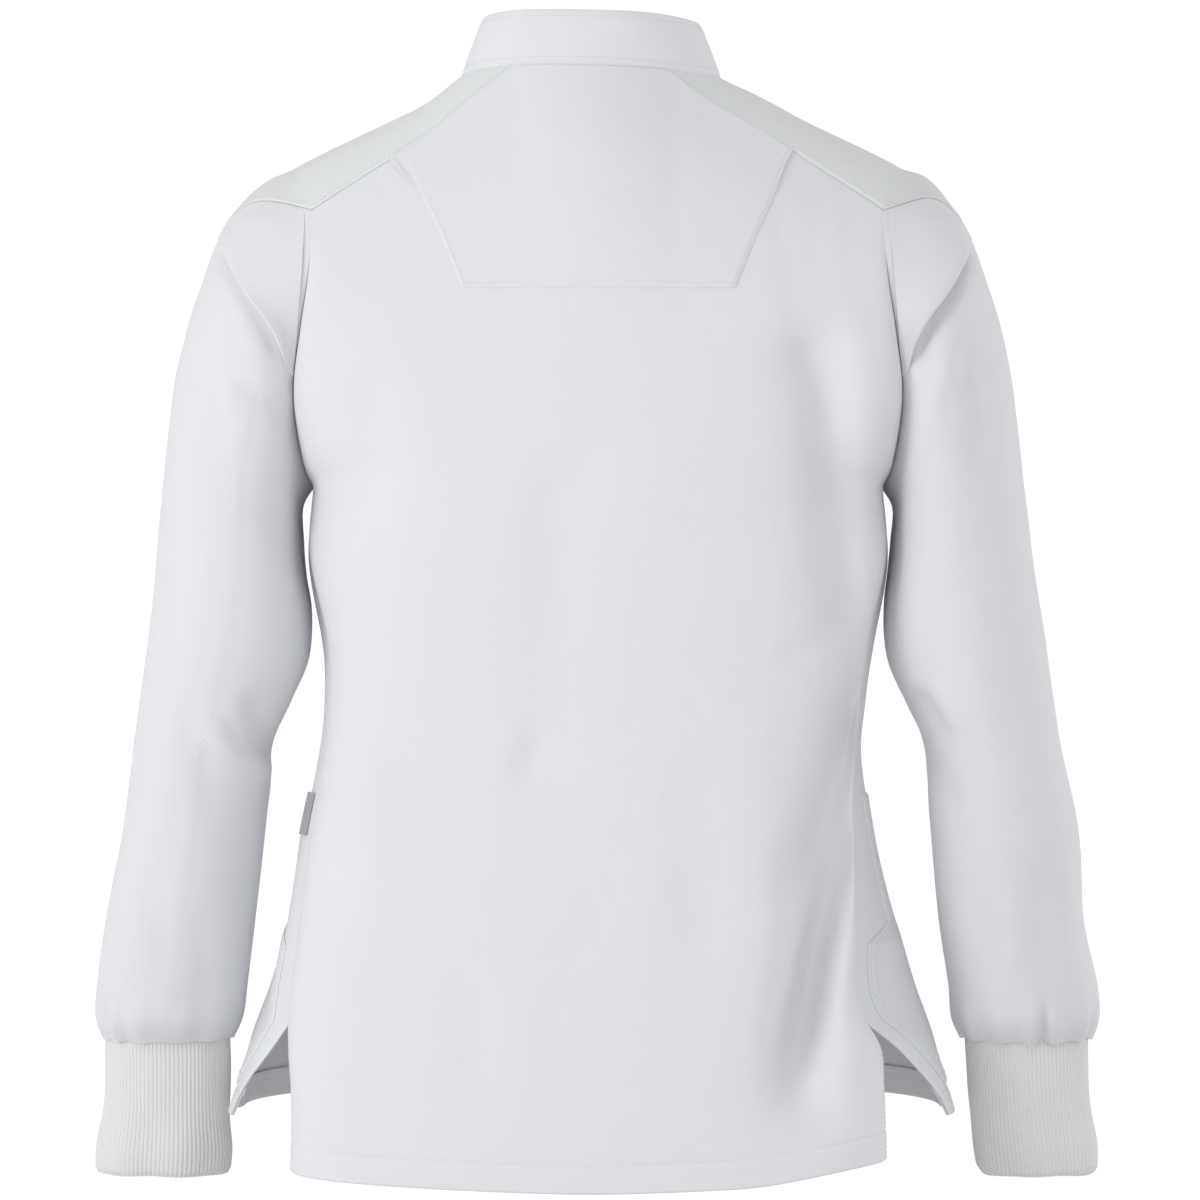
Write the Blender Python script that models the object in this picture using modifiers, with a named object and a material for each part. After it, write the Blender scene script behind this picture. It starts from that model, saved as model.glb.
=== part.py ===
"""A women's work jacket with a stand collar, filled out and hollow, in metres and +Z up.

The front faces -Y and the wearer's left is +X. The origin is at the centre-back neck seam's height, over the
middle of the neck. Every cut piece is an open surface with a Solidify modifier, so its wall lies inside the
surface that the functions below describe. Neighbouring pieces share their points along each seam and stand
back from it by half of SEAM_GAP.
"""

import bmesh
import bpy
import numpy as np
from mathutils import Matrix, Vector

# Driving dimensions
CLOTH = 0.0012  # thickness of the woven cloth as a wall
RIB = 0.0022  # thickness of the rib knit of the cuffs
SEAM_GAP = 0.0008  # between two pieces that are sewn together
LAY_GAP = 0.0008  # between a panel and what lies on it
EASE_GAP = 0.0006  # more where the piece that lies there spans the panel's facets
UNDERARM_Z = -0.268
BACK_HEM_Z = -0.720
BACK_HEM_RISE = 0.007  # from the centre to the side of the back hem
FRONT_HEM_RISE = -0.008  # from the centre to the side of the front hem
FRONT_HEM_Z = -0.675
SLIT_TOP_Z = -0.620
FRONT_OVERLAP = 0.022  # each front past the centre
FRONT_HALF = 0.30  # a front's rows from the centre to the side seam, for the overlap's share of them
LAP_END = 0.34  # share of a row where the right front is level with the left one
LAP_EASE = 0.24  # share of a row over which it comes down to that
NECK_HALF_WIDTH = 0.087
NECK_BACK_Y = 0.060
NECK_FRONT_Y = -0.078
NECK_DROP = 0.072  # from the back of the neck seam to its front
NECK_LEAN = 0.03  # rise of the neck towards the wearer's left, per metre of width
NECK_SHIFT = 0.0045  # of the neck towards the wearer's left
SHOULDER_LEAN = 0.0035  # sag of the left saddle next to the neck, and rise of the right one
SHOULDER_ROUND = {"left": 0.0035, "right": 0.0060}  # rise of a sleeve's head just past the armhole
CORNER_RISE = 0.0080  # of the back hem's right corner above its left one
COLLAR_HEIGHT = 0.038
COLLAR_TOP_SCALE = 0.84
COLLAR_LATE = 0.25  # share of the collar's closing in that grows towards its top
COLLAR_BACK = 0.004  # of the collar's top behind its base
SADDLE_SAG = 0.0045  # of a saddle next to the neck
STUD_RADIUS = 0.0065
STUD_HEIGHT = 0.0022
STUD_COUNT = 7

# Steps of the grids: neighbours share them, so that their seams match point for point
ROWS_BELOW = 10  # hem to underarm
ROWS_ARMHOLE = 9  # underarm to the end of the saddle seam
COLUMNS_NECK_BACK = 3  # centre back to the saddle seam
COLUMNS_NECK_FRONT = 4  # centre front to the saddle seam
COLUMNS_SHOULDER = 6  # along the saddle seam
COLUMNS_SADDLE = 6  # across the saddle
V_UNDERARM = 0.62  # share of a panel's height where the armhole begins

# Angles: round the neck from centre back, and round the armhole from the shoulder point towards the back
NECK_SADDLE_BACK = 35.0
NECK_SADDLE_FRONT = 118.0
ARMHOLE_CORNER = 50.0

SIDE_BULGE = 0.006  # of the fronts between their widest line and the side seam
SUPERELLIPSE = 0.74  # roundness of the torso's corners: 1 is an ellipse, less is squarer
ROW_BEND = 1.3  # how late along a row its height leaves that of its centre
TOP_FIT = 2.5  # how late up a panel its rows take the shape of its top line


def table(columns, *rows):
    """A short table as a dictionary: its column names, and each column's values."""
    return dict(zip(columns.split(), np.array(rows, float).T))


# Centre lines of the torso, from the neck down
CENTRE_BACK = table(
    "z y",
    (-0.730, 0.112),
    (-0.600, 0.106),
    (-0.500, 0.101),
    (-0.420, 0.100),
    (-0.340, 0.106),
    (-0.260, 0.114),
    (-0.180, 0.115),
    (-0.110, 0.107),
    (-0.050, 0.088),
    (0.000, 0.060),
)
CENTRE_FRONT = table(
    "z y",
    (-0.690, -0.128),
    (-0.560, -0.122),
    (-0.440, -0.119),
    (-0.340, -0.126),
    (-0.250, -0.131),
    (-0.170, -0.118),
    (-0.110, -0.098),
    (-0.072, -0.078),
)
# The side seam, which below SLIT_TOP_Z is the back's edge of the slit
SIDE_SEAM = table(
    "z x y",
    (-0.720, 0.191, 0.050),
    (-0.660, 0.189, 0.048),
    (-0.620, 0.187, 0.045),
    (-0.560, 0.178, 0.043),
    (-0.500, 0.1715, 0.040),
    (-0.430, 0.1705, 0.037),
    (-0.370, 0.1765, 0.034),
    (-0.310, 0.189, 0.022),
    (-0.268, 0.187, 0.000),
)
# The front's edge of the slit swings out from the side seam
FRONT_SLIT = table(
    "z x y",
    (-0.690, 0.2385, 0.010),
    (-0.665, 0.2250, 0.021),
    (-0.640, 0.203, 0.037),
    (-0.620, 0.187, 0.045),
)
# Where the fronts are widest
FRONT_SIDE = table(
    "z x y",
    (-0.690, 0.236, -0.034),
    (-0.640, 0.227, -0.028),
    (-0.600, 0.212, -0.024),
    (-0.560, 0.200, -0.021),
    (-0.520, 0.189, -0.019),
    (-0.480, 0.1800, -0.017),
    (-0.440, 0.1720, -0.015),
    (-0.400, 0.1712, -0.013),
    (-0.340, 0.1820, -0.011),
    (-0.300, 0.1870, -0.007),
    (-0.268, 0.187, -0.003),
)
# The torso below the waist hangs a little towards the wearer's left
DRIFT = table(
    "z x",
    (-0.720, 0.0045),
    (-0.600, 0.0035),
    (-0.460, 0.0035),
    (-0.380, 0.0000),
    (-0.300, 0.0000),
)
# How far each side seam, and the cloth behind it, hangs towards the wearer's left of that
SEAM_SHIFT = table(
    "z left right",
    (-0.720, 0.0030, 0.0000),
    (-0.660, 0.0060, 0.0000),
    (-0.635, 0.0090, 0.0010),
    (-0.612, 0.0110, 0.0120),
    (-0.560, 0.0130, 0.0065),
    (-0.500, 0.0120, 0.0010),
    (-0.460, 0.0070, 0.0000),
    (-0.420, 0.0030, 0.0000),
    (-0.380, 0.0000, 0.0000),
)
# The seam where the sleeve is set in, from the shoulder point over the back and under the arm to the front
ARMHOLE = table(
    "angle x y z",
    (0, 0.196, 0.000, -0.057),
    (26, 0.192, 0.040, -0.070),
    (50, 0.184, 0.070, -0.094),
    (72, 0.185, 0.084, -0.130),
    (95, 0.191, 0.080, -0.172),
    (116, 0.196, 0.066, -0.208),
    (145, 0.193, 0.036, -0.250),
    (180, 0.187, 0.000, -0.268),
    (215, 0.181, -0.034, -0.250),
    (244, 0.172, -0.062, -0.208),
    (265, 0.167, -0.076, -0.168),
    (288, 0.170, -0.078, -0.126),
    (310, 0.180, -0.064, -0.090),
    (334, 0.191, -0.036, -0.068),
    (360, 0.196, 0.000, -0.057),
)
# The sleeve's rings: centre, tilt of the ring's plane, half-width across the arm and half-depth along Y
SLEEVE = table(
    "station x y z tilt width depth",
    (1.0, 0.2197, 0.000, -0.1870, 76, 0.1000, 0.0860),
    (2.0, 0.2285, 0.000, -0.2250, 68, 0.0905, 0.0830),
    (3.0, 0.2340, 0.000, -0.2560, 61, 0.0845, 0.0800),
    (4.0, 0.2380, 0.001, -0.2870, 54, 0.0775, 0.0770),
    (5.0, 0.2405, 0.003, -0.3230, 45, 0.0690, 0.0735),
    (6.0, 0.2445, 0.004, -0.3570, 33, 0.0600, 0.0700),
    (7.0, 0.2520, 0.003, -0.3950, 20, 0.0515, 0.0665),
    (8.0, 0.2605, -0.001, -0.4380, 6, 0.0455, 0.0630),
    (9.0, 0.2680, -0.010, -0.4970, 0, 0.0470, 0.0600),
    (10.0, 0.2755, -0.021, -0.5560, 0, 0.0490, 0.0570),
    (11.0, 0.2820, -0.030, -0.6020, 0, 0.0500, 0.0530),
    (12.0, 0.2845, -0.034, -0.6260, 0, 0.0490, 0.0480),
    (12.6, 0.2850, -0.036, -0.6380, 0, 0.0434, 0.0372),
)
# How each sleeve differs: moved away from the body, at its head only on the outer side, and made wider
SLEEVE_SIDES = table(
    "station left right wider_left wider_right",
    (0.0, 0.0000, 0.0000, 0.0000, 0.0000),
    (1.0, -0.0036, -0.0074, 0.0000, 0.0000),
    (2.0, 0.0006, -0.0028, 0.0000, -0.0017),
    (3.0, 0.0000, -0.0030, 0.0000, -0.0035),
    (4.0, -0.0028, -0.0052, 0.0000, -0.0035),
    (5.0, -0.0022, -0.0050, 0.0000, -0.0035),
    (7.0, -0.0015, -0.0022, -0.0010, -0.0015),
    (8.0, 0.0000, -0.0006, 0.0000, -0.0010),
    (9.0, 0.0000, 0.0018, 0.0000, 0.0018),
    (10.0, 0.0025, -0.0004, 0.0005, -0.0010),
    (11.0, 0.0030, 0.0023, 0.0000, -0.0003),
    (12.0, 0.0035, 0.0016, -0.0008, -0.0010),
    (12.6, 0.0038, 0.0020, 0.0000, 0.0000),
)
SLEEVE_ROWS = (0.0, 0.45, 0.9, 1.35, 2.1, 2.9, 3.8, 4.7, 5.6, 6.4, 7.2, 8.1, 9.1, 10.1, 11.0, 11.9, 12.6)
SADDLE_TIP = 1.35  # station on the sleeve where the saddle ends
# The cuff's rings
CUFF = table(
    "down left right y width_left width_right depth",
    (0.0000, 0.2888, 0.2872, -0.0365, 0.0412, 0.0412, 0.0350),
    (0.0140, 0.2888, 0.2878, -0.0380, 0.0418, 0.0408, 0.0352),
    (0.0560, 0.2895, 0.2905, -0.0430, 0.0424, 0.0405, 0.0355),
    (0.0800, 0.2905, 0.2935, -0.0470, 0.0452, 0.0415, 0.0385),
    (0.0955, 0.2915, 0.2950, -0.0490, 0.0448, 0.0402, 0.0370),
)
CUFF_TOP_Z = -0.6340
# The sleeve's back gusset: from the band seam and the armhole out to the pleat's free edge
PLEAT = table(
    "column inner second third outer",
    (13.7, 0.10, 0.18, 0.26, 0.34),
    (14.4, 0.10, 0.30, 0.45, 0.62),
    (15.0, 0.10, 0.45, 0.75, 0.92),
    (16.0, 0.10, 0.45, 0.90, 1.16),
    (17.0, 0.10, 0.45, 0.90, 1.30),
    (17.85, 0.10, 0.45, 0.90, 1.35),
)
PLEAT_LIFT = {"left": 0.0032, "right": 0.0055}
# How far the gusset stands off, as shares of its lift: down its length, across it, and faded towards its tip
PLEAT_BASE = 0.35
PLEAT_ALONG = np.array([0.2, 0.6, 1.0, 1.0, 0.8, 0.4])
PLEAT_ACROSS = np.array([0.0, 0.15, 0.5, 1.0])
PLEAT_TIP = np.array([1.0, 1.0, 1.0, 0.55, 0.12, 0.0])
# Largest folds of the back: a line down the panel, and how deep and wide the trough beside it is
BACK_FOLDS = (
    {
        "points": (
            (-0.180, -0.370),
            (-0.166, -0.421),
            (-0.153, -0.466),
            (-0.146, -0.536),
            (-0.140, -0.587),
            (-0.134, -0.663),
        ),
        "depth": 0.018,
        "width": 0.020,
    },
    {"points": ((-0.140, -0.200), (-0.148, -0.244), (-0.158, -0.320)), "depth": 0.009, "width": 0.024},
    {"points": ((0.018, -0.269), (0.027, -0.345), (0.034, -0.447)), "depth": 0.004, "width": 0.024},
)
# The yoke that lies on the back, and the pockets and the tag that lie on the fronts
YOKE = {"bottom_z": -0.147, "bottom_x": 0.087, "top_share": 0.62}
POCKET = table(
    "z side centre",
    (-0.657, 0.945, 0.400),
    (-0.634, 0.945, 0.400),
    (-0.594, 0.950, 0.400),
    (-0.566, 0.955, 0.400),
    (-0.553, 0.870, 0.400),
    (-0.512, 0.905, 0.400),
    (-0.470, 0.950, 0.400),
)
TAG = {"top_z": -0.469, "bottom_z": -0.496, "shares": (0.958, 0.972, 0.986), "lifts": (0.0034, 0.0018, -0.0010)}

COLOURS = {
    "twill": ((0.78, 0.79, 0.82), 0.75),
    "mesh": ((0.77, 0.79, 0.79), 0.80),
    "rib": ((0.74, 0.74, 0.73), 0.90),
    "stud": ((0.80, 0.80, 0.80), 0.35),
    "tag": ((0.42, 0.43, 0.45), 0.70),
}


def smooth(knots, values, at):
    """A smooth curve through the values at their knots, read at the given places."""
    knots = np.asarray(knots, float)
    values = np.asarray(values, float)
    at = np.clip(np.asarray(at, float), knots[0], knots[-1])
    slopes = np.gradient(values, knots)
    left = np.clip(np.searchsorted(knots, at, side="right") - 1, 0, len(knots) - 2)
    span = knots[left + 1] - knots[left]
    t = (at - knots[left]) / span
    return (
        (1 + 2 * t) * (1 - t) ** 2 * values[left]
        + t * (1 - t) ** 2 * span * slopes[left]
        + t * t * (3 - 2 * t) * values[left + 1]
        + t * t * (t - 1) * span * slopes[left + 1]
    )


def read(rows, at, columns):
    """Columns of a table, read smoothly along its first column."""
    knots = next(iter(rows.values()))
    return np.stack([smooth(knots, rows[name], at) for name in columns.split()], axis=-1)


def ease(t):
    t = np.clip(t, 0.0, 1.0)
    return t * t * (3 - 2 * t)


def by_length(points, shares):
    """Points at the given shares of a line's length."""
    steps = np.linalg.norm(np.diff(points, axis=0), axis=1)
    reached = np.concatenate(([0.0], np.cumsum(steps)))
    reached /= reached[-1]
    return np.stack([np.interp(shares, reached, points[:, axis]) for axis in range(3)], axis=-1)


def neck(angle):
    """The neck seam at an angle from centre back, positive towards the wearer's left."""
    turn = np.radians(angle)
    middle = (NECK_BACK_Y + NECK_FRONT_Y) / 2
    reach = (NECK_BACK_Y - NECK_FRONT_Y) / 2
    fall = ease((np.abs(((angle + 180) % 360) - 180) - 75) / 105)
    return np.stack(
        [NECK_HALF_WIDTH * np.sin(turn), middle + reach * np.cos(turn), -NECK_DROP * fall], axis=-1
    )


def armhole(angle):
    """The left armhole's seam at an angle from the shoulder point towards the back."""
    return read(ARMHOLE, np.asarray(angle, float) % 360, "x y z")


def quarter(count=120):
    """A quarter of a superellipse: shares of the width and of the depth, from the centre line outwards."""
    turn = np.linspace(0, np.pi / 2, count)
    return np.sin(turn) ** SUPERELLIPSE, np.cos(turn) ** SUPERELLIPSE


def seam_line(neck_from, neck_to, corner):
    """A panel's top line: round the neck, then along the saddle's seam to the armhole's corner."""
    round_neck = neck(np.linspace(neck_from, neck_to, 60))
    along = np.linspace(0, 1, 60)[:, None]
    shoulder = saddle_edge(neck(np.array(neck_to)), armhole(corner), along)
    return round_neck, shoulder


def saddle_edge(start, end, along):
    """A line over the shoulder, which sags a little next to the neck."""
    sag = SADDLE_SAG * np.sin(np.pi * along) * (1 - along)
    return start + (end - start) * along - sag * np.array([0.0, 0.0, 1.0])


def panel_shares(neck_from, neck_to, corner, neck_columns):
    """Column shares of a panel, with a column at the corner between the neck and the saddle's seam."""
    round_neck, shoulder = seam_line(neck_from, neck_to, corner)
    lengths = [np.linalg.norm(np.diff(line, axis=0), axis=1).sum() for line in (round_neck, shoulder)]
    turning = lengths[0] / sum(lengths)
    return np.concatenate(
        (np.linspace(0, turning, neck_columns + 1), np.linspace(turning, 1, COLUMNS_SHOULDER + 1)[1:])
    )


BACK_SHARES = panel_shares(0, NECK_SADDLE_BACK, ARMHOLE_CORNER, COLUMNS_NECK_BACK)
FRONT_SHARES = panel_shares(180, NECK_SADDLE_FRONT, 360 - ARMHOLE_CORNER, COLUMNS_NECK_FRONT)
ROW_SHARES = np.concatenate(
    (np.linspace(0, V_UNDERARM, ROWS_BELOW + 1), np.linspace(V_UNDERARM, 1, ROWS_ARMHOLE + 1)[1:])
)


def row_line(up, share, behind):
    """One row of a left-hand panel before its top is fitted, from the centre line to its edge."""
    above = max(0.0, (up - V_UNDERARM) / (1 - V_UNDERARM))
    below = min(1.0, up / V_UNDERARM)
    hem = BACK_HEM_Z if behind else FRONT_HEM_Z
    top = 0.0 if behind else -NECK_DROP
    centre_z = hem + (UNDERARM_Z - hem) * below + (top - UNDERARM_Z) * above
    rise = BACK_HEM_RISE if behind else FRONT_HEM_RISE
    edge_z = hem + rise * (1 - below) ** 2 + (UNDERARM_Z - hem) * below
    centre_y = read(CENTRE_BACK if behind else CENTRE_FRONT, centre_z, "y")[0]
    if above > 0:
        angle = 180 - (180 - ARMHOLE_CORNER) * above
        edge = armhole(angle if behind else 360 - angle)
    elif behind:
        edge = np.append(read(SIDE_SEAM, edge_z, "x y"), edge_z)
    else:
        edge = np.append(read(SIDE_SEAM if edge_z > SLIT_TOP_Z else FRONT_SLIT, edge_z, "x y"), edge_z)
    wide, deep = quarter()
    turn = edge
    if not behind and above == 0:
        turn = np.append(read(FRONT_SIDE, edge_z, "x y"), edge_z)
    heights = centre_z + (turn[2] - centre_z) * wide**ROW_BEND
    line = np.stack([turn[0] * wide, turn[1] + (centre_y - turn[1]) * deep, heights], axis=-1)
    if turn is not edge:
        tail = np.linspace(0, 1, 31)[1:, None]
        bulge = SIDE_BULGE * ease((np.linalg.norm(edge - turn) - 0.01) / 0.04)
        bow = np.array([bulge, 0.0, 0.0]) * np.sin(np.pi * tail)
        line = np.concatenate((line, turn + (edge - turn) * tail + bow))
    return by_length(line, share)


def fold_depth(point, folds):
    """How far the cloth sinks at a point of the back, from the folds that pass it."""
    depth = 0.0
    for fold in folds:
        line = np.array(fold["points"])
        nearest = 1.0
        for start, end in zip(line[:-1], line[1:]):
            run = end - start
            t = np.clip(np.dot(point - start, run) / np.dot(run, run), 0, 1)
            nearest = min(nearest, np.linalg.norm(point - start - t * run))
        depth += fold["depth"] * np.exp(-((nearest / fold["width"]) ** 2))
    return depth


def panel(shares, rows, behind):
    """The grid of a panel: rows from the hem up, columns at shares from the centre line to the left edge.

    A negative share lies past the centre line.
    """
    distance = np.abs(shares)
    neck_from, neck_to = (0, NECK_SADDLE_BACK) if behind else (180, NECK_SADDLE_FRONT)
    corner = ARMHOLE_CORNER if behind else 360 - ARMHOLE_CORNER
    top = by_length(np.concatenate(seam_line(neck_from, neck_to, corner)), distance)
    fit = top - row_line(1.0, distance, behind)
    grid = []
    for up in rows:
        above = max(0.0, (up - V_UNDERARM) / (1 - V_UNDERARM))
        line = row_line(up, distance, behind) + fit * above**TOP_FIT
        line[:, 0] *= np.where(shares < 0, -1.0, 1.0)
        grid.append(line)
    return np.array(grid)


def head_rise(station, angles, side):
    """How much higher a sleeve's head is just past the armhole, at angles from the shoulder point."""
    top = np.abs((angles + 180) % 360 - 180)
    return SHOULDER_ROUND[side] * np.sin(np.pi * np.clip(station, 0, 1)) ** 2 * np.exp(-((top / 55) ** 2))


def sleeve(station, angles, side):
    """A ring of a left sleeve at a station: 0 is the armhole, and from 1 on the table's rings."""
    angles = np.asarray(angles, float)
    knots = SLEEVE["station"]
    lines = [armhole(angles)]
    turn = np.radians(angles)
    for row in range(len(knots)):
        tilt = np.radians(SLEEVE["tilt"][row])
        out = np.array([np.cos(tilt), 0.0, np.sin(tilt)])
        moved, wider = read(SLEEVE_SIDES, knots[row], f"{side} wider_{side}")
        outer = (1 + np.cos(turn)) / 2
        share = outer + (1 - outer) * ease((knots[row] - 1) / 2)
        centre = np.array([SLEEVE[axis][row] for axis in "xyz"]) + np.outer(moved * share, [1.0, 0.0, 0.0])
        across = (SLEEVE["width"][row] + wider) * np.cos(turn)[:, None] * out
        along = SLEEVE["depth"][row] * np.sin(turn)[:, None] * np.array([0.0, 1.0, 0.0])
        lines.append(centre + across + along)
    lines = np.array(lines)
    knots = np.concatenate(([0.0], knots))
    ring = np.stack(
        [[smooth(knots, lines[:, at, axis], station) for axis in range(3)] for at in range(len(angles))]
    )
    ring[:, 2] += head_rise(station, angles, side)
    return ring


def hang(points, torso=True):
    """The jacket's own lean: the neck stands higher to the wearer's left, and the torso drifts that way."""
    points = np.array(points, float)
    high = ease((points[..., 2] + 0.075) / 0.07) * ease((0.125 - np.abs(points[..., 0])) / 0.035)
    beside = np.exp(-(((np.abs(points[..., 0]) - 0.100) / 0.018) ** 2))
    beside = beside * ease((points[..., 2] + 0.075) / 0.07)
    points[..., 2] += NECK_LEAN * points[..., 0] * high - SHOULDER_LEAN * np.sign(points[..., 0]) * beside
    points[..., 0] += NECK_SHIFT * high
    if torso:
        points[..., 0] += read(DRIFT, points[..., 2], "x")[..., 0]
        shift = read(SEAM_SHIFT, points[..., 2], "left right")
        near = ease((np.abs(points[..., 0]) - 0.10) / 0.06) * ease((points[..., 1] + 0.01) / 0.045)
        points[..., 0] += np.where(points[..., 0] > 0, shift[..., 0], shift[..., 1]) * near
    return points


def stand_back(grid, sides, gap=SEAM_GAP / 2):
    """The grid with the named sides (first/last row, first/last column) moved in from their seams."""
    grid = np.array(grid, float)
    before = grid.copy()
    for side, edge, inner in (
        ("first_row", np.s_[0], np.s_[1]),
        ("last_row", np.s_[-1], np.s_[-2]),
        ("first_column", np.s_[:, 0], np.s_[:, 1]),
        ("last_column", np.s_[:, -1], np.s_[:, -2]),
    ):
        if side in sides:
            step = before[inner] - before[edge]
            grid[edge] += step / np.linalg.norm(step, axis=-1, keepdims=True) * gap
    return grid


def normals(grid):
    """Unit normals of a grid's points, along rows x columns."""
    rows = np.gradient(grid, axis=0)
    columns = np.gradient(grid, axis=1)
    across = np.cross(columns, rows)
    return across / np.linalg.norm(across, axis=-1, keepdims=True)


def on_grid(grid, rows, columns):
    """Points on a faceted grid at fractional rows and columns."""
    r = np.clip(np.floor(rows).astype(int), 0, grid.shape[0] - 2)
    c = np.clip(np.floor(columns).astype(int), 0, grid.shape[1] - 2)
    a = (rows - r)[..., None]
    b = (columns - c)[..., None]
    near, far = grid[r, c], grid[r + 1, c + 1]
    beside, above = grid[r, c + 1], grid[r + 1, c]
    first = near + b * (beside - near) + a * (far - beside)
    second = near + a * (above - near) + b * (far - above)
    return np.where(b >= a, first, second)


def material(name):
    """A plain material in one of the jacket's colours."""
    colour, rough = COLOURS[name]
    found = bpy.data.materials.get(name)
    if found is None:
        found = bpy.data.materials.new(name)
        found.use_nodes = True
        shader = found.node_tree.nodes["Principled BSDF"]
        shader.inputs["Base Color"].default_value = (*colour, 1.0)
        shader.inputs["Roughness"].default_value = rough
        shader.inputs["Metallic"].default_value = 0.0
    return found


def piece(name, grid, colour, wall=CLOTH, closed_from=None, mirrored=False, torso=True):
    """One cut piece: the grid as a surface, with its wall on the inner side.

    From the row closed_from on, the last column is the first one, so the piece is a tube there.
    """
    grid = hang(grid * (np.array([-1.0, 1.0, 1.0]) if mirrored else 1.0), torso)
    mesh = bmesh.new()
    rows, columns = grid.shape[:2]
    corners = []
    for row in range(rows):
        line = [mesh.verts.new(grid[row, column]) for column in range(columns)]
        if closed_from is not None and row >= closed_from:
            mesh.verts.remove(line[-1])
            line[-1] = line[0]
        corners.append(line)
    for row in range(rows - 1):
        for column in range(columns - 1):
            near, beside = corners[row][column : column + 2]
            above, far = corners[row + 1][column : column + 2]
            for facet in ((near, beside, far), (near, far, above)):
                if len(set(facet)) == 3:
                    mesh.faces.new(facet[::-1] if mirrored else facet)
    return finish(name, mesh, colour, wall)


def finish(name, mesh, colour, wall=None):
    """A named object from a mesh, smooth shaded, and solid if it has a wall."""
    data = bpy.data.meshes.new(name)
    mesh.to_mesh(data)
    mesh.free()
    data.materials.append(material(colour))
    data.shade_smooth()
    made = bpy.data.objects.new(name, data)
    PARTS.objects.link(made)
    if wall is not None:
        solid = made.modifiers.new("Wall", "SOLIDIFY")
        solid.thickness = wall
        solid.offset = -1.0
        solid.use_even_offset = False
    return made


def columns_of_sleeve(station):
    """The sleeve's column angles, from the front edge under the arm to the back edge."""
    corner = ARMHOLE_CORNER * max(0.0, 1 - station / SADDLE_TIP)
    shares = np.linspace(1, -1, 2 * ROWS_ARMHOLE + 1)
    return 180 + (180 - corner) * shares


def back_grid():
    shares = np.concatenate((BACK_SHARES[::-1], -BACK_SHARES[1:]))
    grid = panel(shares, ROW_SHARES, behind=True)
    corner = ease((-grid[..., 0] - 0.09) / 0.10) * ease((-0.60 - grid[..., 2]) / 0.12)
    grid[..., 2] += CORNER_RISE * corner
    depth = np.array([[fold_depth(point[[0, 2]], BACK_FOLDS) for point in row] for row in grid])
    grid[..., 1] -= depth * ease((1 - np.abs(shares)) / 0.3)
    return grid


def front_grid(outer):
    """The left front, or the right one before it is mirrored, which lies over the other."""
    past = -FRONT_OVERLAP / FRONT_HALF
    shares = np.concatenate(([past], FRONT_SHARES))
    grid = panel(shares, ROW_SHARES, behind=False)
    if outer:
        grid[..., 1] -= (CLOTH + LAY_GAP) * ease((LAP_END - shares) / LAP_EASE)
    return grid


def saddle_grid(side):
    """From the neck over the shoulder, then narrowing over the sleeve head; columns from back to front."""
    across = np.linspace(0, 1, COLUMNS_SADDLE + 1)
    start = neck(NECK_SADDLE_BACK + (NECK_SADDLE_FRONT - NECK_SADDLE_BACK) * across)
    end = armhole(ARMHOLE_CORNER * (1 - 2 * across))
    rows = [saddle_edge(start, end, t) for t in np.linspace(0, 1, COLUMNS_SHOULDER + 1)]
    for station in (SLEEVE_ROWS[1], SLEEVE_ROWS[2], 0.97 * SADDLE_TIP):
        corner = ARMHOLE_CORNER * (1 - station / SADDLE_TIP)
        rows.append(sleeve(station, corner * (1 - 2 * across), side))
    return np.array(rows)


def sleeve_grid(side):
    return np.array([sleeve(station, columns_of_sleeve(station), side) for station in SLEEVE_ROWS])


def neck_line(left_front, right_front, saddle, back):
    """The collar's base: all points of the neck seam, from the left front round the back to the right."""
    mirror = np.array([-1.0, 1.0, 1.0])
    first = COLUMNS_NECK_FRONT + 1
    left = list(left_front[-1][:first]) + list(saddle[0][::-1])
    middle = back[-1][COLUMNS_SHOULDER + 1 : -COLUMNS_SHOULDER - 1]
    right = list(saddle[0] * mirror) + list((right_front[-1][:first] * mirror)[::-1])
    return np.array(left + list(middle) + right)


def collar_grid(base):
    """The stand collar: it rises and closes in from the neck seam, and its right end lies over its left."""
    middle = np.array([0.0, (NECK_BACK_Y + NECK_FRONT_Y) / 2, 0.0])
    rows = []
    for up in (0.0, 0.5, 1.0):
        line = base.copy()
        closing = 1 - (1 - COLLAR_TOP_SCALE) * ((1 - COLLAR_LATE) * up + COLLAR_LATE * up * up)
        line[:, :2] = middle[:2] + (base[:, :2] - middle[:2]) * closing
        line[:, 2] += COLLAR_HEIGHT * up
        line[:, 1] += COLLAR_BACK * up
        rows.append(line)
    return np.array(rows)


def cuff_grid(side):
    turn = np.radians(np.linspace(360, 0, 2 * ROWS_ARMHOLE + 1))
    rows = []
    names = f"down {side} y width_{side} depth".split()
    for down, x, y, width, depth in zip(*(CUFF[name] for name in names)):
        heights = np.full(len(turn), CUFF_TOP_Z - down)
        ring = [x + width * np.cos(turn), y + depth * np.sin(turn), heights]
        rows.append(np.stack(ring, axis=-1))
    return np.array(rows)


def laid_on(grid, rows, columns, lift):
    """Points on a panel's facets, moved out by the lift and the thickness of the piece that lies there."""
    points = on_grid(grid, rows, columns)
    facing = on_grid(normals(grid), rows, columns)
    facing /= np.linalg.norm(facing, axis=-1, keepdims=True)
    return points + facing * (LAY_GAP + CLOTH + np.asarray(lift))[..., None]


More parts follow.
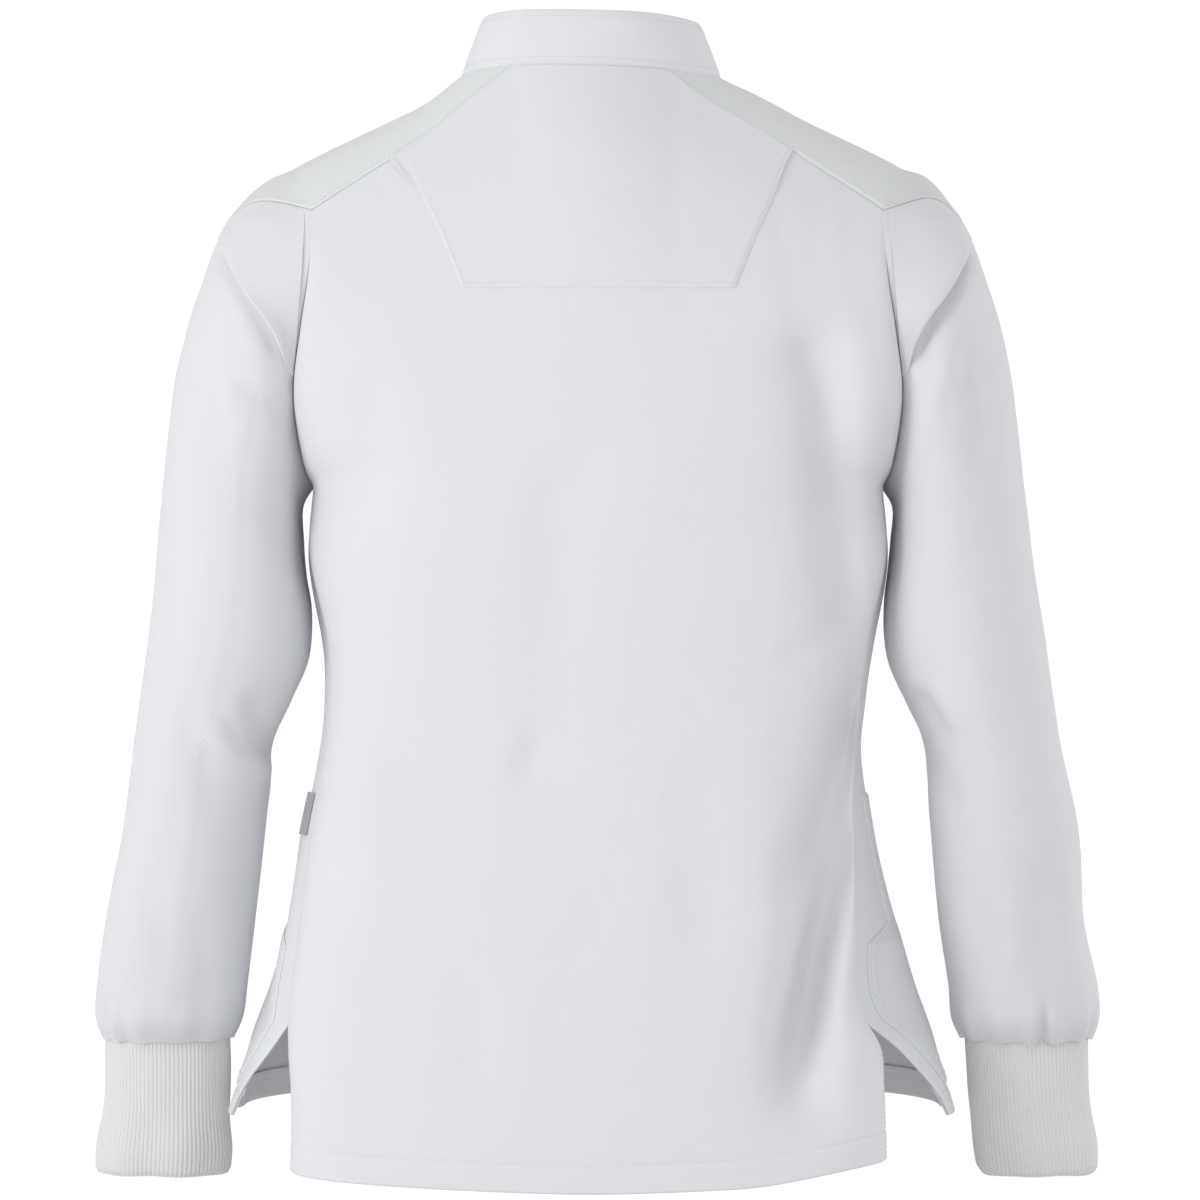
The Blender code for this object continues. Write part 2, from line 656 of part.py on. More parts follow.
def pleat_grid(grid, lift):
    """The gusset over the back of the sleeve head, whose outer edge stands off the sleeve."""
    stations = np.stack([PLEAT[name] for name in "inner second third outer".split()], axis=1)
    rows = np.interp(stations, SLEEVE_ROWS, np.arange(len(SLEEVE_ROWS)))
    columns = np.repeat(PLEAT["column"][:, None], 4, axis=1)
    standing = PLEAT_BASE + np.outer(PLEAT_ALONG, PLEAT_ACROSS)
    return laid_on(grid, rows, columns, EASE_GAP + lift * standing * PLEAT_TIP[:, None])


def yoke_grid(grid):
    """The yoke, from the neck and the saddles' seams down to a level edge."""
    top = len(ROW_SHARES) - 1.02
    centre = (grid.shape[1] - 1) / 2
    top_column = (COLUMNS_NECK_BACK + COLUMNS_SHOULDER * YOKE["top_share"]) - 0.02
    rows, columns = [], []
    for share in np.linspace(0, 1, 6):
        across = np.linspace(-1, 1, 13)
        low_row, low_column = np.zeros(13), np.zeros(13)
        for at, side in enumerate(across):
            low_row[at], low_column[at] = find_on(grid, YOKE["bottom_x"] * side, YOKE["bottom_z"])
        rows.append(low_row + (top - low_row) * share)
        high_column = centre - top_column * across
        columns.append(low_column + (high_column - low_column) * share)
    return laid_on(grid, np.array(rows)[:, ::-1], np.array(columns)[:, ::-1], np.full((6, 13), EASE_GAP))


def find_on(grid, x, z):
    """The fractional row and column of the panel's facet point with this x and z."""
    row, column = (grid.shape[0] - 1) * 0.8, (grid.shape[1] - 1) * 0.5
    for _ in range(60):
        point, step = on_grid(grid, np.array(row), np.array(column)), 0.25
        up = on_grid(grid, np.array(row + step), np.array(column)) - point
        side = on_grid(grid, np.array(row), np.array(column + step)) - point
        matrix = np.array([[up[0], side[0]], [up[2], side[2]]]) / step
        move = np.linalg.solve(matrix, np.array([x - point[0], z - point[2]]))
        row = float(np.clip(row + 0.6 * move[0], 0, grid.shape[0] - 1.01))
        column = float(np.clip(column + 0.6 * move[1], 0, grid.shape[1] - 1.01))
    return row, column


def pocket_grid(grid):
    """A patch pocket near the side seam; its side edge has the scoop of the hand opening."""
    shares = np.concatenate(([-FRONT_OVERLAP / FRONT_HALF], FRONT_SHARES))
    rows, columns = [], []
    for z, side, centre in zip(POCKET["z"], POCKET["side"], POCKET["centre"]):
        up = (z - FRONT_HEM_Z) / (UNDERARM_Z - FRONT_HEM_Z) * V_UNDERARM
        inner = FRONT_SHARES[(FRONT_SHARES > centre) & (FRONT_SHARES < POCKET["side"].min() - 0.02)]
        row = np.concatenate(([centre], inner, [min(FRONT_SHARES[-2], side - 0.02), side]))
        columns.append(np.interp(row, shares, np.arange(len(shares))))
        rows.append(np.full(len(row), np.interp(up, ROW_SHARES, np.arange(len(ROW_SHARES)))))
    lifts = EASE_GAP * np.linspace(1, 3, len(rows[0]))
    return laid_on(grid, np.array(rows), np.array(columns), np.broadcast_to(lifts, np.shape(rows)))


def tag_grid(grid):
    shares = np.concatenate(([-FRONT_OVERLAP / FRONT_HALF], FRONT_SHARES))
    heights = np.array([TAG["bottom_z"], TAG["top_z"]])
    up = (heights - FRONT_HEM_Z) / (UNDERARM_Z - FRONT_HEM_Z) * V_UNDERARM
    row = np.interp(up, ROW_SHARES, np.arange(len(ROW_SHARES)))
    column = np.interp(TAG["shares"], shares, np.arange(len(shares)))
    rows, columns = np.meshgrid(row, column, indexing="ij")
    return laid_on(grid, rows, columns, np.broadcast_to(TAG["lifts"], rows.shape))


def add_studs(grid):
    """Press studs down the right front's edge: low caps that lie flat on the cloth."""
    mirror = np.array([-1.0, 1.0, 1.0])
    column = 0.5
    rows = np.linspace(grid.shape[0] - 1.35, 1.2, STUD_COUNT)
    facings = normals(grid)
    for number, row in enumerate(rows, 1):
        point = on_grid(grid, np.array(row), np.array(column)) * mirror
        facing = on_grid(facings, np.array(row), np.array(column)) * mirror
        facing = Vector(facing / np.linalg.norm(facing))
        mesh = bmesh.new()
        bmesh.ops.create_cone(
            mesh,
            cap_ends=True,
            segments=14,
            radius1=STUD_RADIUS,
            radius2=0.78 * STUD_RADIUS,
            depth=STUD_HEIGHT,
        )
        turn = facing.to_track_quat("Z", "Y").to_matrix().to_4x4()
        seat = Vector(hang(point)) + facing * (STUD_HEIGHT / 2 + LAY_GAP)
        mesh.transform(Matrix.Translation(seat) @ turn)
        finish(f"press_stud_{number}", mesh, "stud")


def tube_edges(grid, closed_from, sides):
    """A sleeve's grid moved in from its seams; its closed rows keep their points."""
    moved = stand_back(grid, sides)
    moved[closed_from:] = grid[closed_from:]
    return moved


def build():
    back, saddles = back_grid(), {}
    left_front, right_front = front_grid(outer=False), front_grid(outer=True)
    piece("back_panel", stand_back(back, ("last_row", "first_column", "last_column")), "twill")
    piece("back_yoke", yoke_grid(back), "twill")
    closed_from = SLEEVE_ROWS.index(SADDLE_TIP)
    for side, front, mirrored in (("left", left_front, False), ("right", right_front, True)):
        edges = ("last_row", "last_column")
        piece(f"front_{side}", stand_back(front, edges), "twill", mirrored=mirrored)
        saddles[side] = saddle_grid(side)
        edges = ("first_row", "last_row", "first_column", "last_column")
        piece(f"saddle_{side}", stand_back(saddles[side], edges), "mesh", mirrored=mirrored, torso=False)
        edges = ("first_row", "first_column", "last_column")
        tube = tube_edges(sleeve_grid(side), closed_from, edges)
        piece(f"sleeve_{side}", tube, "twill", closed_from=closed_from, mirrored=mirrored, torso=False)
        gusset = pleat_grid(tube, PLEAT_LIFT[side])
        piece(f"sleeve_pleat_{side}", gusset, "twill", mirrored=mirrored, torso=False)
        ring = cuff_grid(side)
        piece(f"cuff_{side}", ring, "rib", wall=RIB, closed_from=0, mirrored=mirrored, torso=False)
        piece(f"pocket_{side}", pocket_grid(front), "twill", mirrored=mirrored)
    base = neck_line(left_front, right_front, saddles["left"], back)
    piece("collar", stand_back(collar_grid(base), ("first_row",)), "twill")
    piece("side_tag", tag_grid(left_front), "tag")
    add_studs(right_front)


for old in list(bpy.data.objects):
    bpy.data.objects.remove(old)
PARTS = bpy.data.collections.new("work_jacket")
bpy.context.scene.collection.children.link(PARTS)
build()
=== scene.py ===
"""A women's white work jacket with a stand collar, filled out and hollow, on a white stage.

Every cut piece is a grid of points on a surface, in metres, with rows from the hem up (or down a sleeve) and
columns across. Folds, hems and seams move the grid's points along its normals, and a wall on the inner side
gives the cloth its thickness. +X is the wearer's left and -Y is the front.
"""

import bmesh
import bpy
import numpy as np
from mathutils import Matrix, Vector
from mathutils.bvhtree import BVHTree


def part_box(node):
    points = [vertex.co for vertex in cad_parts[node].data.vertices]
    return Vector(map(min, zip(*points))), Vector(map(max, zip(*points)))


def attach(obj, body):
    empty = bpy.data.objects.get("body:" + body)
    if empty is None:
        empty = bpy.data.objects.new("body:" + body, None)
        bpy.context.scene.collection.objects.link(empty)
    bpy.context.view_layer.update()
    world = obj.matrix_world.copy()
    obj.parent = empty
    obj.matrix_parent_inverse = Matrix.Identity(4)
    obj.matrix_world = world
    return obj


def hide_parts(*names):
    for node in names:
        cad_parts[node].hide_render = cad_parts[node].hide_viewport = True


bl_info = {
    "name": "Work Jacket",
    "version": (1, 0, 0),
    "blender": (4, 5, 0),
    "location": "3D View > Sidebar > Jacket",
    "description": "Makes a women's white work jacket with shoulder saddles and rib-knit cuffs",
    "category": "Add Mesh",
}

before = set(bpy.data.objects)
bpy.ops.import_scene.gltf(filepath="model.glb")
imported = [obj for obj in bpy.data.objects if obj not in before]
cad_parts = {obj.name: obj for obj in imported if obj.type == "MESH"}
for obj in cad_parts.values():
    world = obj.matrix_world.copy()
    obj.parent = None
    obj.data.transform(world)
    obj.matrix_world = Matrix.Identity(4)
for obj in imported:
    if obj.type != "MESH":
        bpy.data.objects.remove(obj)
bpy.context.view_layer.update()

# Cut of the jacket, as its solids have it: metres, and degrees for angles
UNDERARM_Z = -0.268
UNDERARM_SHARE = 0.62  # share of a panel's rows that is below the underarm
BACK_HEM_Z = -0.720
BACK_HEM_RISE = 0.007  # from the middle of the hem to the side seam
FRONT_HEM_Z = -0.675
FRONT_HEM_RISE = -0.008
SLIT_TOP_Z = -0.620
CORNER_RISE = 0.0080  # by which the back's lower right corner is pulled up
CORNER_FROM_X = 0.09
CORNER_FROM_Z = -0.60
FRONT_OVERLAP = 0.022
FRONT_HALF = 0.30  # length of a front's rows from the centre to the side seam, for the overlap's share
LAP_END = 0.34  # share of a row where the right front is level with the left one
LAP_EASE = 0.24
LAP_LIFT = 0.0022
NECK_HALF_WIDTH = 0.087
NECK_BACK_Y = 0.060
NECK_FRONT_Y = -0.078
NECK_DROP = 0.072
NECK_DROP_FROM = 75.0  # angle from centre back where the neck seam starts to drop
NECK_DROP_REACH = 105.0
NECK_LEAN = 0.03  # slope of the neck, which is higher to the wearer's left
NECK_SHIFT = 0.0045
NECK_LOW_Z = -0.075  # below this the lean has ended
NECK_LEAN_EASE = 0.07
SHOULDER_LEAN = 0.0035
SHOULDER_ROUND = {"left": 0.0035, "right": 0.0060}  # fullness of the sleeve's head
SHOULDER_ROUND_REACH = 55.0
COLLAR_HEIGHT = 0.038
COLLAR_TOP_SCALE = 0.84
COLLAR_LATE = 0.25  # share of the collar's closing that comes near its top
COLLAR_BACK = 0.004
SADDLE_SAG = 0.0045
LAY_GAP = 0.0006  # between a panel and what lies on it
NECK_SADDLE_BACK = 35.0
NECK_SADDLE_FRONT = 118.0
ARMHOLE_CORNER = 50.0
SIDE_BULGE = 0.006
ROW_ROUNDNESS = 0.74  # power of the rounded quarter that a row follows to its side
ROW_BEND = 1.3  # power by which a row changes height on its way to the side
TOP_FIT = 2.5  # power by which the top line takes over from the rows below it
CUFF_TOP_Z = -0.6340
SADDLE_TIP = 1.35  # the sleeve's stations where the saddle and the sleeve end
SLEEVE_END = 12.6
UP_LENGTH = {"back": 0.729, "front": 0.656}  # metres for a row share of 1
SLEEVE_COLUMNS = 9  # the pleat's table counts its columns in ninths of half the sleeve


def table(columns, *rows):
    """A short table as a dictionary: its column names, and each column's values."""
    return dict(zip(columns.split(), np.array(rows, float).T))


# The line down the middle of the back, then of the front
CENTRE_BACK = table(
    "z y",
    (-0.730, 0.112),
    (-0.600, 0.106),
    (-0.500, 0.101),
    (-0.420, 0.100),
    (-0.340, 0.106),
    (-0.260, 0.114),
    (-0.180, 0.115),
    (-0.110, 0.107),
    (-0.050, 0.088),
    (0.000, 0.060),
)
CENTRE_FRONT = table(
    "z y",
    (-0.690, -0.128),
    (-0.560, -0.122),
    (-0.440, -0.119),
    (-0.340, -0.126),
    (-0.250, -0.131),
    (-0.170, -0.118),
    (-0.110, -0.098),
    (-0.072, -0.078),
)
# The left side seam, then the front's own edges beside it
SIDE_SEAM = table(
    "z x y",
    (-0.720, 0.191, 0.050),
    (-0.660, 0.189, 0.048),
    (-0.620, 0.187, 0.045),
    (-0.560, 0.178, 0.043),
    (-0.500, 0.1715, 0.040),
    (-0.430, 0.1705, 0.037),
    (-0.370, 0.1765, 0.034),
    (-0.310, 0.189, 0.022),
    (-0.268, 0.187, 0.000),
)
FRONT_SLIT = table(
    "z x y",
    (-0.690, 0.2385, 0.010),
    (-0.665, 0.2250, 0.021),
    (-0.640, 0.203, 0.037),
    (-0.620, 0.187, 0.045),
)
FRONT_SIDE = table(
    "z x y",
    (-0.690, 0.236, -0.034),
    (-0.640, 0.227, -0.028),
    (-0.600, 0.212, -0.024),
    (-0.560, 0.200, -0.021),
    (-0.520, 0.189, -0.019),
    (-0.480, 0.1800, -0.017),
    (-0.440, 0.1720, -0.015),
    (-0.400, 0.1712, -0.013),
    (-0.340, 0.1820, -0.011),
    (-0.300, 0.1870, -0.007),
    (-0.268, 0.187, -0.003),
)
# How far the torso stands off towards the wearer's left, then how much further each side seam does
DRIFT = table(
    "z x",
    (-0.720, 0.0045),
    (-0.600, 0.0035),
    (-0.460, 0.0035),
    (-0.380, 0.0000),
    (-0.300, 0.0000),
)
SEAM_SHIFT = table(
    "z left right",
    (-0.720, 0.0030, 0.0000),
    (-0.660, 0.0060, 0.0000),
    (-0.635, 0.0090, 0.0010),
    (-0.612, 0.0110, 0.0120),
    (-0.560, 0.0130, 0.0065),
    (-0.500, 0.0120, 0.0010),
    (-0.460, 0.0070, 0.0000),
    (-0.420, 0.0030, 0.0000),
    (-0.380, 0.0000, 0.0000),
)
# The left armhole's seam, by its angle from the shoulder point towards the back
ARMHOLE = table(
    "angle x y z",
    (0, 0.196, 0.000, -0.057),
    (26, 0.192, 0.040, -0.070),
    (50, 0.184, 0.070, -0.094),
    (72, 0.185, 0.084, -0.130),
    (95, 0.191, 0.080, -0.172),
    (116, 0.196, 0.066, -0.208),
    (145, 0.193, 0.036, -0.250),
    (180, 0.187, 0.000, -0.268),
    (215, 0.181, -0.034, -0.250),
    (244, 0.172, -0.062, -0.208),
    (265, 0.167, -0.076, -0.168),
    (288, 0.170, -0.078, -0.126),
    (310, 0.180, -0.064, -0.090),
    (334, 0.191, -0.036, -0.068),
    (360, 0.196, 0.000, -0.057),
)
# The left sleeve's rings: their middles, their tilt in degrees and their half sizes
SLEEVE = table(
    "station x y z tilt width depth",
    (1.0, 0.2197, 0.000, -0.1870, 76, 0.1000, 0.0860),
    (2.0, 0.2285, 0.000, -0.2250, 68, 0.0905, 0.0830),
    (3.0, 0.2340, 0.000, -0.2560, 61, 0.0845, 0.0800),
    (4.0, 0.2380, 0.001, -0.2870, 54, 0.0775, 0.0770),
    (5.0, 0.2405, 0.003, -0.3230, 45, 0.0690, 0.0735),
    (6.0, 0.2445, 0.004, -0.3570, 33, 0.0600, 0.0700),
    (7.0, 0.2520, 0.003, -0.3950, 20, 0.0515, 0.0665),
    (8.0, 0.2605, -0.001, -0.4380, 6, 0.0455, 0.0630),
    (9.0, 0.2680, -0.010, -0.4970, 0, 0.0470, 0.0600),
    (10.0, 0.2755, -0.021, -0.5560, 0, 0.0490, 0.0570),
    (11.0, 0.2820, -0.030, -0.6020, 0, 0.0500, 0.0530),
    (12.0, 0.2845, -0.034, -0.6260, 0, 0.0490, 0.0480),
    (12.6, 0.2850, -0.036, -0.6380, 0, 0.0434, 0.0372),
)
# By how much each sleeve stands off from those rings, and how much wider it is
SLEEVE_SIDES = table(
    "station left right wider_left wider_right",
    (0.0, 0.0000, 0.0000, 0.0000, 0.0000),
    (1.0, -0.0036, -0.0074, 0.0000, 0.0000),
    (2.0, 0.0006, -0.0028, 0.0000, -0.0017),
    (3.0, 0.0000, -0.0030, 0.0000, -0.0035),
    (4.0, -0.0028, -0.0052, 0.0000, -0.0035),
    (5.0, -0.0022, -0.0050, 0.0000, -0.0035),
    (7.0, -0.0015, -0.0022, -0.0010, -0.0015),
    (8.0, 0.0000, -0.0006, 0.0000, -0.0010),
    (9.0, 0.0000, 0.0018, 0.0000, 0.0018),
    (10.0, 0.0025, -0.0004, 0.0005, -0.0010),
    (11.0, 0.0030, 0.0023, 0.0000, -0.0003),
    (12.0, 0.0035, 0.0016, -0.0008, -0.0010),
    (12.6, 0.0038, 0.0020, 0.0000, 0.0000),
)
# The cuffs' rings, by their distance down from the top
CUFF = table(
    "down left right y width_left width_right depth",
    (0.0000, 0.2888, 0.2872, -0.0365, 0.0412, 0.0412, 0.0350),
    (0.0140, 0.2888, 0.2878, -0.0380, 0.0418, 0.0408, 0.0352),
    (0.0560, 0.2895, 0.2905, -0.0430, 0.0424, 0.0405, 0.0355),
    (0.0800, 0.2905, 0.2935, -0.0470, 0.0452, 0.0415, 0.0385),
    (0.0955, 0.2915, 0.2950, -0.0490, 0.0448, 0.0402, 0.0370),
)
# The pleat behind a sleeve: the stations of four lines along it, for each of its columns
PLEAT = table(
    "column inner second third outer",
    (13.7, 0.10, 0.18, 0.26, 0.34),
    (14.4, 0.10, 0.30, 0.45, 0.62),
    (15.0, 0.10, 0.45, 0.75, 0.92),
    (16.0, 0.10, 0.45, 0.90, 1.16),
    (17.0, 0.10, 0.45, 0.90, 1.30),
    (17.85, 0.10, 0.45, 0.90, 1.35),
)
# The pocket's edges by the side seam and by the centre, as shares of a front's row
POCKET = table(
    "z side centre",
    (-0.657, 0.945, 0.400),
    (-0.634, 0.945, 0.400),
    (-0.594, 0.950, 0.400),
    (-0.566, 0.955, 0.400),
    (-0.553, 0.870, 0.400),
    (-0.512, 0.905, 0.400),
    (-0.470, 0.950, 0.400),
)
YOKE_BOTTOM = (0.087, -0.147)  # half-width and height of its lower corners
YOKE_TOP_X = 0.130  # where its slanted edges meet the saddles' seams
# The tape in the left side seam, by its heights and its shares of the front's row
TAG_TOP_Z = -0.469
TAG_BOTTOM_Z = -0.496
TAG_SHARES = (0.958, 0.986)

# Folds, each a line of (x, z) points with its depth and half-width in metres. A ridge runs beside the trough,
# as a share of its depth, towards +X where it is positive. A negative depth is a soft ridge of its own.
BACK_FOLDS = (
    (((-0.180, -0.370), (-0.166, -0.421), (-0.153, -0.466),
      (-0.146, -0.536), (-0.140, -0.587), (-0.134, -0.663)), 0.010, 0.024, 0.0),
    (((-0.138, -0.192), (-0.146, -0.244), (-0.154, -0.300), (-0.160, -0.345)), 0.013, 0.020, 0.0),
    (((0.018, -0.269), (0.027, -0.345), (0.034, -0.447)), 0.0025, 0.026, 0.0),
)
# The main fold's two creases
BACK_CREASES = (
    (((-0.182, -0.372), (-0.166, -0.421), (-0.153, -0.466),
      (-0.135, -0.511), (-0.121, -0.552)), 0.0240, 0.0130, -0.05),
    (((-0.170, -0.468), (-0.159, -0.504), (-0.145, -0.549),
      (-0.136, -0.587), (-0.127, -0.638), (-0.122, -0.680)), 0.0320, 0.0155, -0.05),
)


def cubic(low, high, low_slope, high_slope, t, span):
    """A cubic between two values with given slopes, at the share t of its span."""
    return (
        (1 + 2 * t) * (1 - t) ** 2 * low
        + t * (1 - t) ** 2 * span * low_slope
        + t * t * (3 - 2 * t) * high
        + t * t * (t - 1) * span * high_slope
    )


def smooth(knots, values, at):
    """A smooth curve through the values at their knots, read at the given places."""
    knots = np.asarray(knots, float)
    values = np.asarray(values, float)
    at = np.clip(np.asarray(at, float), knots[0], knots[-1])
    slopes = np.gradient(values, knots, axis=0)
    left = np.clip(np.searchsorted(knots, at, side="right") - 1, 0, len(knots) - 2)
    more = (...,) + (None,) * (values.ndim - 1)
    span = (knots[left + 1] - knots[left])[more]
    t = (at - knots[left])[more] / span
    return cubic(values[left], values[left + 1], slopes[left], slopes[left + 1], t, span)


def read(rows, at, columns):
    """Columns of a table, read smoothly along its first column."""
    knots = next(iter(rows.values()))
    return np.stack([smooth(knots, rows[name], at) for name in columns.split()], axis=-1)


def ease(t):
    """From 0 to 1 with a soft start and end."""
    t = np.clip(t, 0.0, 1.0)
    return t * t * (3 - 2 * t)


def bell(t):
    """1 in the middle, fading softly to both sides."""
    return np.exp(-(t**2))


def lengths_along(points):
    """The distance along a line of points up to each of them."""
    steps = np.linalg.norm(np.diff(points, axis=0), axis=1)
    return np.concatenate(([0.0], np.cumsum(steps)))


def by_length(points, shares):
    """Points at the given shares of a line's length."""
    reached = lengths_along(points)
    reached /= reached[-1]
    return np.stack([np.interp(shares, reached, points[:, axis]) for axis in range(points.shape[1])], axis=-1)


FINEST = 3000  # places on which the spacing is worked out


def spaced(length, step, spots, fine=0.0009, reach=0.010):
    """Places along a length, a step apart, and closer beside the spots."""
    places = np.linspace(0, length, FINEST)
    near = np.min([np.abs(places - spot) for spot in spots], axis=0)
    steps = fine + (step - fine) * ease(near / reach)
    count = np.concatenate(([0.0], np.cumsum(np.diff(places) / steps[1:])))
    return np.interp(np.linspace(0, count[-1], int(np.ceil(count[-1])) + 1), count, places)


def neck(angle):
    """The neck seam at an angle from centre back, positive towards the wearer's left."""
    turn = np.radians(angle)
    middle = (NECK_BACK_Y + NECK_FRONT_Y) / 2
    reach = (NECK_BACK_Y - NECK_FRONT_Y) / 2
    from_back = np.abs(((angle + 180) % 360) - 180)
    height = -NECK_DROP * ease((from_back - NECK_DROP_FROM) / NECK_DROP_REACH)
    return np.stack([NECK_HALF_WIDTH * np.sin(turn), middle + reach * np.cos(turn), height], axis=-1)


def armhole(angle):
    """The left armhole's seam at an angle from the shoulder point towards the back."""
    return read(ARMHOLE, np.asarray(angle, float) % 360, "x y z")


def quarter(count=120):
    """Shares across and in depth along the rounded quarter that a panel's rows follow."""
    turn = np.linspace(0, np.pi / 2, count)
    return np.sin(turn) ** ROW_ROUNDNESS, np.cos(turn) ** ROW_ROUNDNESS


def shares_of(length):
    """Shares of a small piece's length, closer at both its ends."""
    return spaced(length, FINE_STEP, (0, length)) / length


def saddle_edge(start, end, along):
    """A line over the shoulder, which sags a little next to the neck."""
    sag = SADDLE_SAG * np.sin(np.pi * along) * (1 - along)
    return start + (end - start) * along - sag * np.array([0.0, 0.0, 1.0])


def seam_line(neck_from, neck_to, corner):
    """A panel's top line: round the neck, then along the saddle's seam to the armhole's corner."""
    round_neck = neck(np.linspace(neck_from, neck_to, 60))
    along = np.linspace(0, 1, 60)[:, None]
    return round_neck, saddle_edge(neck(np.array(neck_to)), armhole(corner), along)


def row_line(up, share, behind):
    """One row of a left-hand panel before its top is fitted, from the centre line to its edge."""
    above = max(0.0, (up - UNDERARM_SHARE) / (1 - UNDERARM_SHARE))
    below = min(1.0, up / UNDERARM_SHARE)
    hem = BACK_HEM_Z if behind else FRONT_HEM_Z
    top = 0.0 if behind else -NECK_DROP
    centre_z = hem + (UNDERARM_Z - hem) * below + (top - UNDERARM_Z) * above
    rise = BACK_HEM_RISE if behind else FRONT_HEM_RISE
    edge_z = hem + rise * (1 - below) ** 2 + (UNDERARM_Z - hem) * below
    centre_y = read(CENTRE_BACK if behind else CENTRE_FRONT, centre_z, "y")[0]
    if above > 0:
        angle = 180 - (180 - ARMHOLE_CORNER) * above
        edge = armhole(angle if behind else 360 - angle)
    elif behind:
        edge = np.append(read(SIDE_SEAM, edge_z, "x y"), edge_z)
    else:
        edge = np.append(read(SIDE_SEAM if edge_z > SLIT_TOP_Z else FRONT_SLIT, edge_z, "x y"), edge_z)
    wide, deep = quarter()
    turn = edge
    if not behind and above == 0:
        turn = np.append(read(FRONT_SIDE, edge_z, "x y"), edge_z)
    heights = centre_z + (turn[2] - centre_z) * wide**ROW_BEND
    line = np.stack([turn[0] * wide, turn[1] + (centre_y - turn[1]) * deep, heights], axis=-1)
    if turn is not edge:
        tail = np.linspace(0, 1, 31)[1:, None]
        bulge = SIDE_BULGE * ease((np.linalg.norm(edge - turn) - 0.01) / 0.04)
        bow = np.array([bulge, 0.0, 0.0]) * np.sin(np.pi * tail)
        line = np.concatenate((line, turn + (edge - turn) * tail + bow))
    return by_length(line, share)


def panel(shares, rows, behind):
    """The grid of a panel: rows from the hem up, columns at shares from the centre line to the left edge."""
    distance = np.abs(shares)
    neck_from, neck_to = (0, NECK_SADDLE_BACK) if behind else (180, NECK_SADDLE_FRONT)
    corner = ARMHOLE_CORNER if behind else 360 - ARMHOLE_CORNER
    top = by_length(np.concatenate(seam_line(neck_from, neck_to, corner)), distance)
    fit = top - row_line(1.0, distance, behind)
    grid = []
    for up in rows:
        above = max(0.0, (up - UNDERARM_SHARE) / (1 - UNDERARM_SHARE))
        line = row_line(up, distance, behind) + fit * above**TOP_FIT
        line[:, 0] *= np.where(shares < 0, -1.0, 1.0)
        grid.append(line)
    return np.array(grid)


def sleeve_at(stations, angles, side):
    """Points of a sleeve, as a left one: station 0 is the armhole, and from 1 on the table's rings."""
    shape = np.shape(stations)
    stations, angles = np.ravel(stations), np.ravel(angles)
    turn = np.radians(angles)
    lines = [armhole(angles)]
    for row, knot in enumerate(SLEEVE["station"]):
        tilt = np.radians(SLEEVE["tilt"][row])
        out = np.array([np.cos(tilt), 0.0, np.sin(tilt)])
        moved, wider = read(SLEEVE_SIDES, knot, f"{side} wider_{side}")
        outer = (1 + np.cos(turn)) / 2
        share = outer + (1 - outer) * ease((knot - 1) / 2)
        centre = np.array([SLEEVE[axis][row] for axis in "xyz"]) + np.outer(moved * share, [1.0, 0.0, 0.0])
        across = (SLEEVE["width"][row] + wider) * np.cos(turn)[:, None] * out
        along = SLEEVE["depth"][row] * np.sin(turn)[:, None] * np.array([0.0, 1.0, 0.0])
        lines.append(centre + across + along)
    lines = np.array(lines)
    knots = np.concatenate(([0.0], SLEEVE["station"]))
    slopes = np.gradient(lines, knots, axis=0)
    left = np.clip(np.searchsorted(knots, stations, side="right") - 1, 0, len(knots) - 2)
    pick = np.arange(len(stations))
    span = (knots[left + 1] - knots[left])[:, None]
    t = (stations - knots[left])[:, None] / span
    low, high = (left, pick), (left + 1, pick)
    points = cubic(lines[low], lines[high], slopes[low], slopes[high], t, span)
    from_top = np.abs((angles + 180) % 360 - 180)
    full = np.sin(np.pi * np.clip(stations, 0, 1)) ** 2 * bell(from_top / SHOULDER_ROUND_REACH)
    points[:, 2] += SHOULDER_ROUND[side] * full
    return points.reshape(shape + (3,))


def hang(points, torso=True):
    """The jacket's own lean: the neck stands higher to the wearer's left, and the torso drifts that way."""
    points = np.array(points, float)
    out = np.abs(points[..., 0])
    up = ease((points[..., 2] - NECK_LOW_Z) / NECK_LEAN_EASE)
    high = up * ease((0.125 - out) / 0.035)
    beside = bell((out - 0.100) / 0.018) * up
    points[..., 2] += NECK_LEAN * points[..., 0] * high - SHOULDER_LEAN * np.sign(points[..., 0]) * beside
    points[..., 0] += NECK_SHIFT * high
    if torso:
        flat = points.reshape(-1, 3)
        flat[:, 0] += read(DRIFT, flat[:, 2], "x")[:, 0]
        shift = read(SEAM_SHIFT, flat[:, 2], "left right")
        near = ease((np.abs(flat[:, 0]) - 0.10) / 0.06) * ease((flat[:, 1] + 0.01) / 0.045)
        flat[:, 0] += np.where(flat[:, 0] > 0, shift[:, 0], shift[:, 1]) * near
    return points


def placed(grid, mirrored=False, torso=True):
    """A left-hand grid where it hangs, on the left or mirrored to the right."""
    return hang(grid * (np.array([-1.0, 1.0, 1.0]) if mirrored else 1.0), torso)


def normals(grid, mirrored=False):
    """Unit normals of a grid's points, facing out."""
    across = np.cross(np.gradient(grid, axis=1), np.gradient(grid, axis=0))
    across /= np.maximum(np.linalg.norm(across, axis=-1, keepdims=True), 1e-12)
    return -across if mirrored else across


def from_edges(grid):
    """Each point's distance along the cloth from the first row, last row, first column and last column."""
    down = np.linalg.norm(np.diff(grid, axis=0), axis=-1)
    along = np.linalg.norm(np.diff(grid, axis=1), axis=-1)
    rows = np.concatenate((np.zeros((1, grid.shape[1])), np.cumsum(down, axis=0)))
    columns = np.concatenate((np.zeros((grid.shape[0], 1)), np.cumsum(along, axis=1)), axis=1)
    return rows, rows[-1:] - rows, columns, columns[:, -1:] - columns


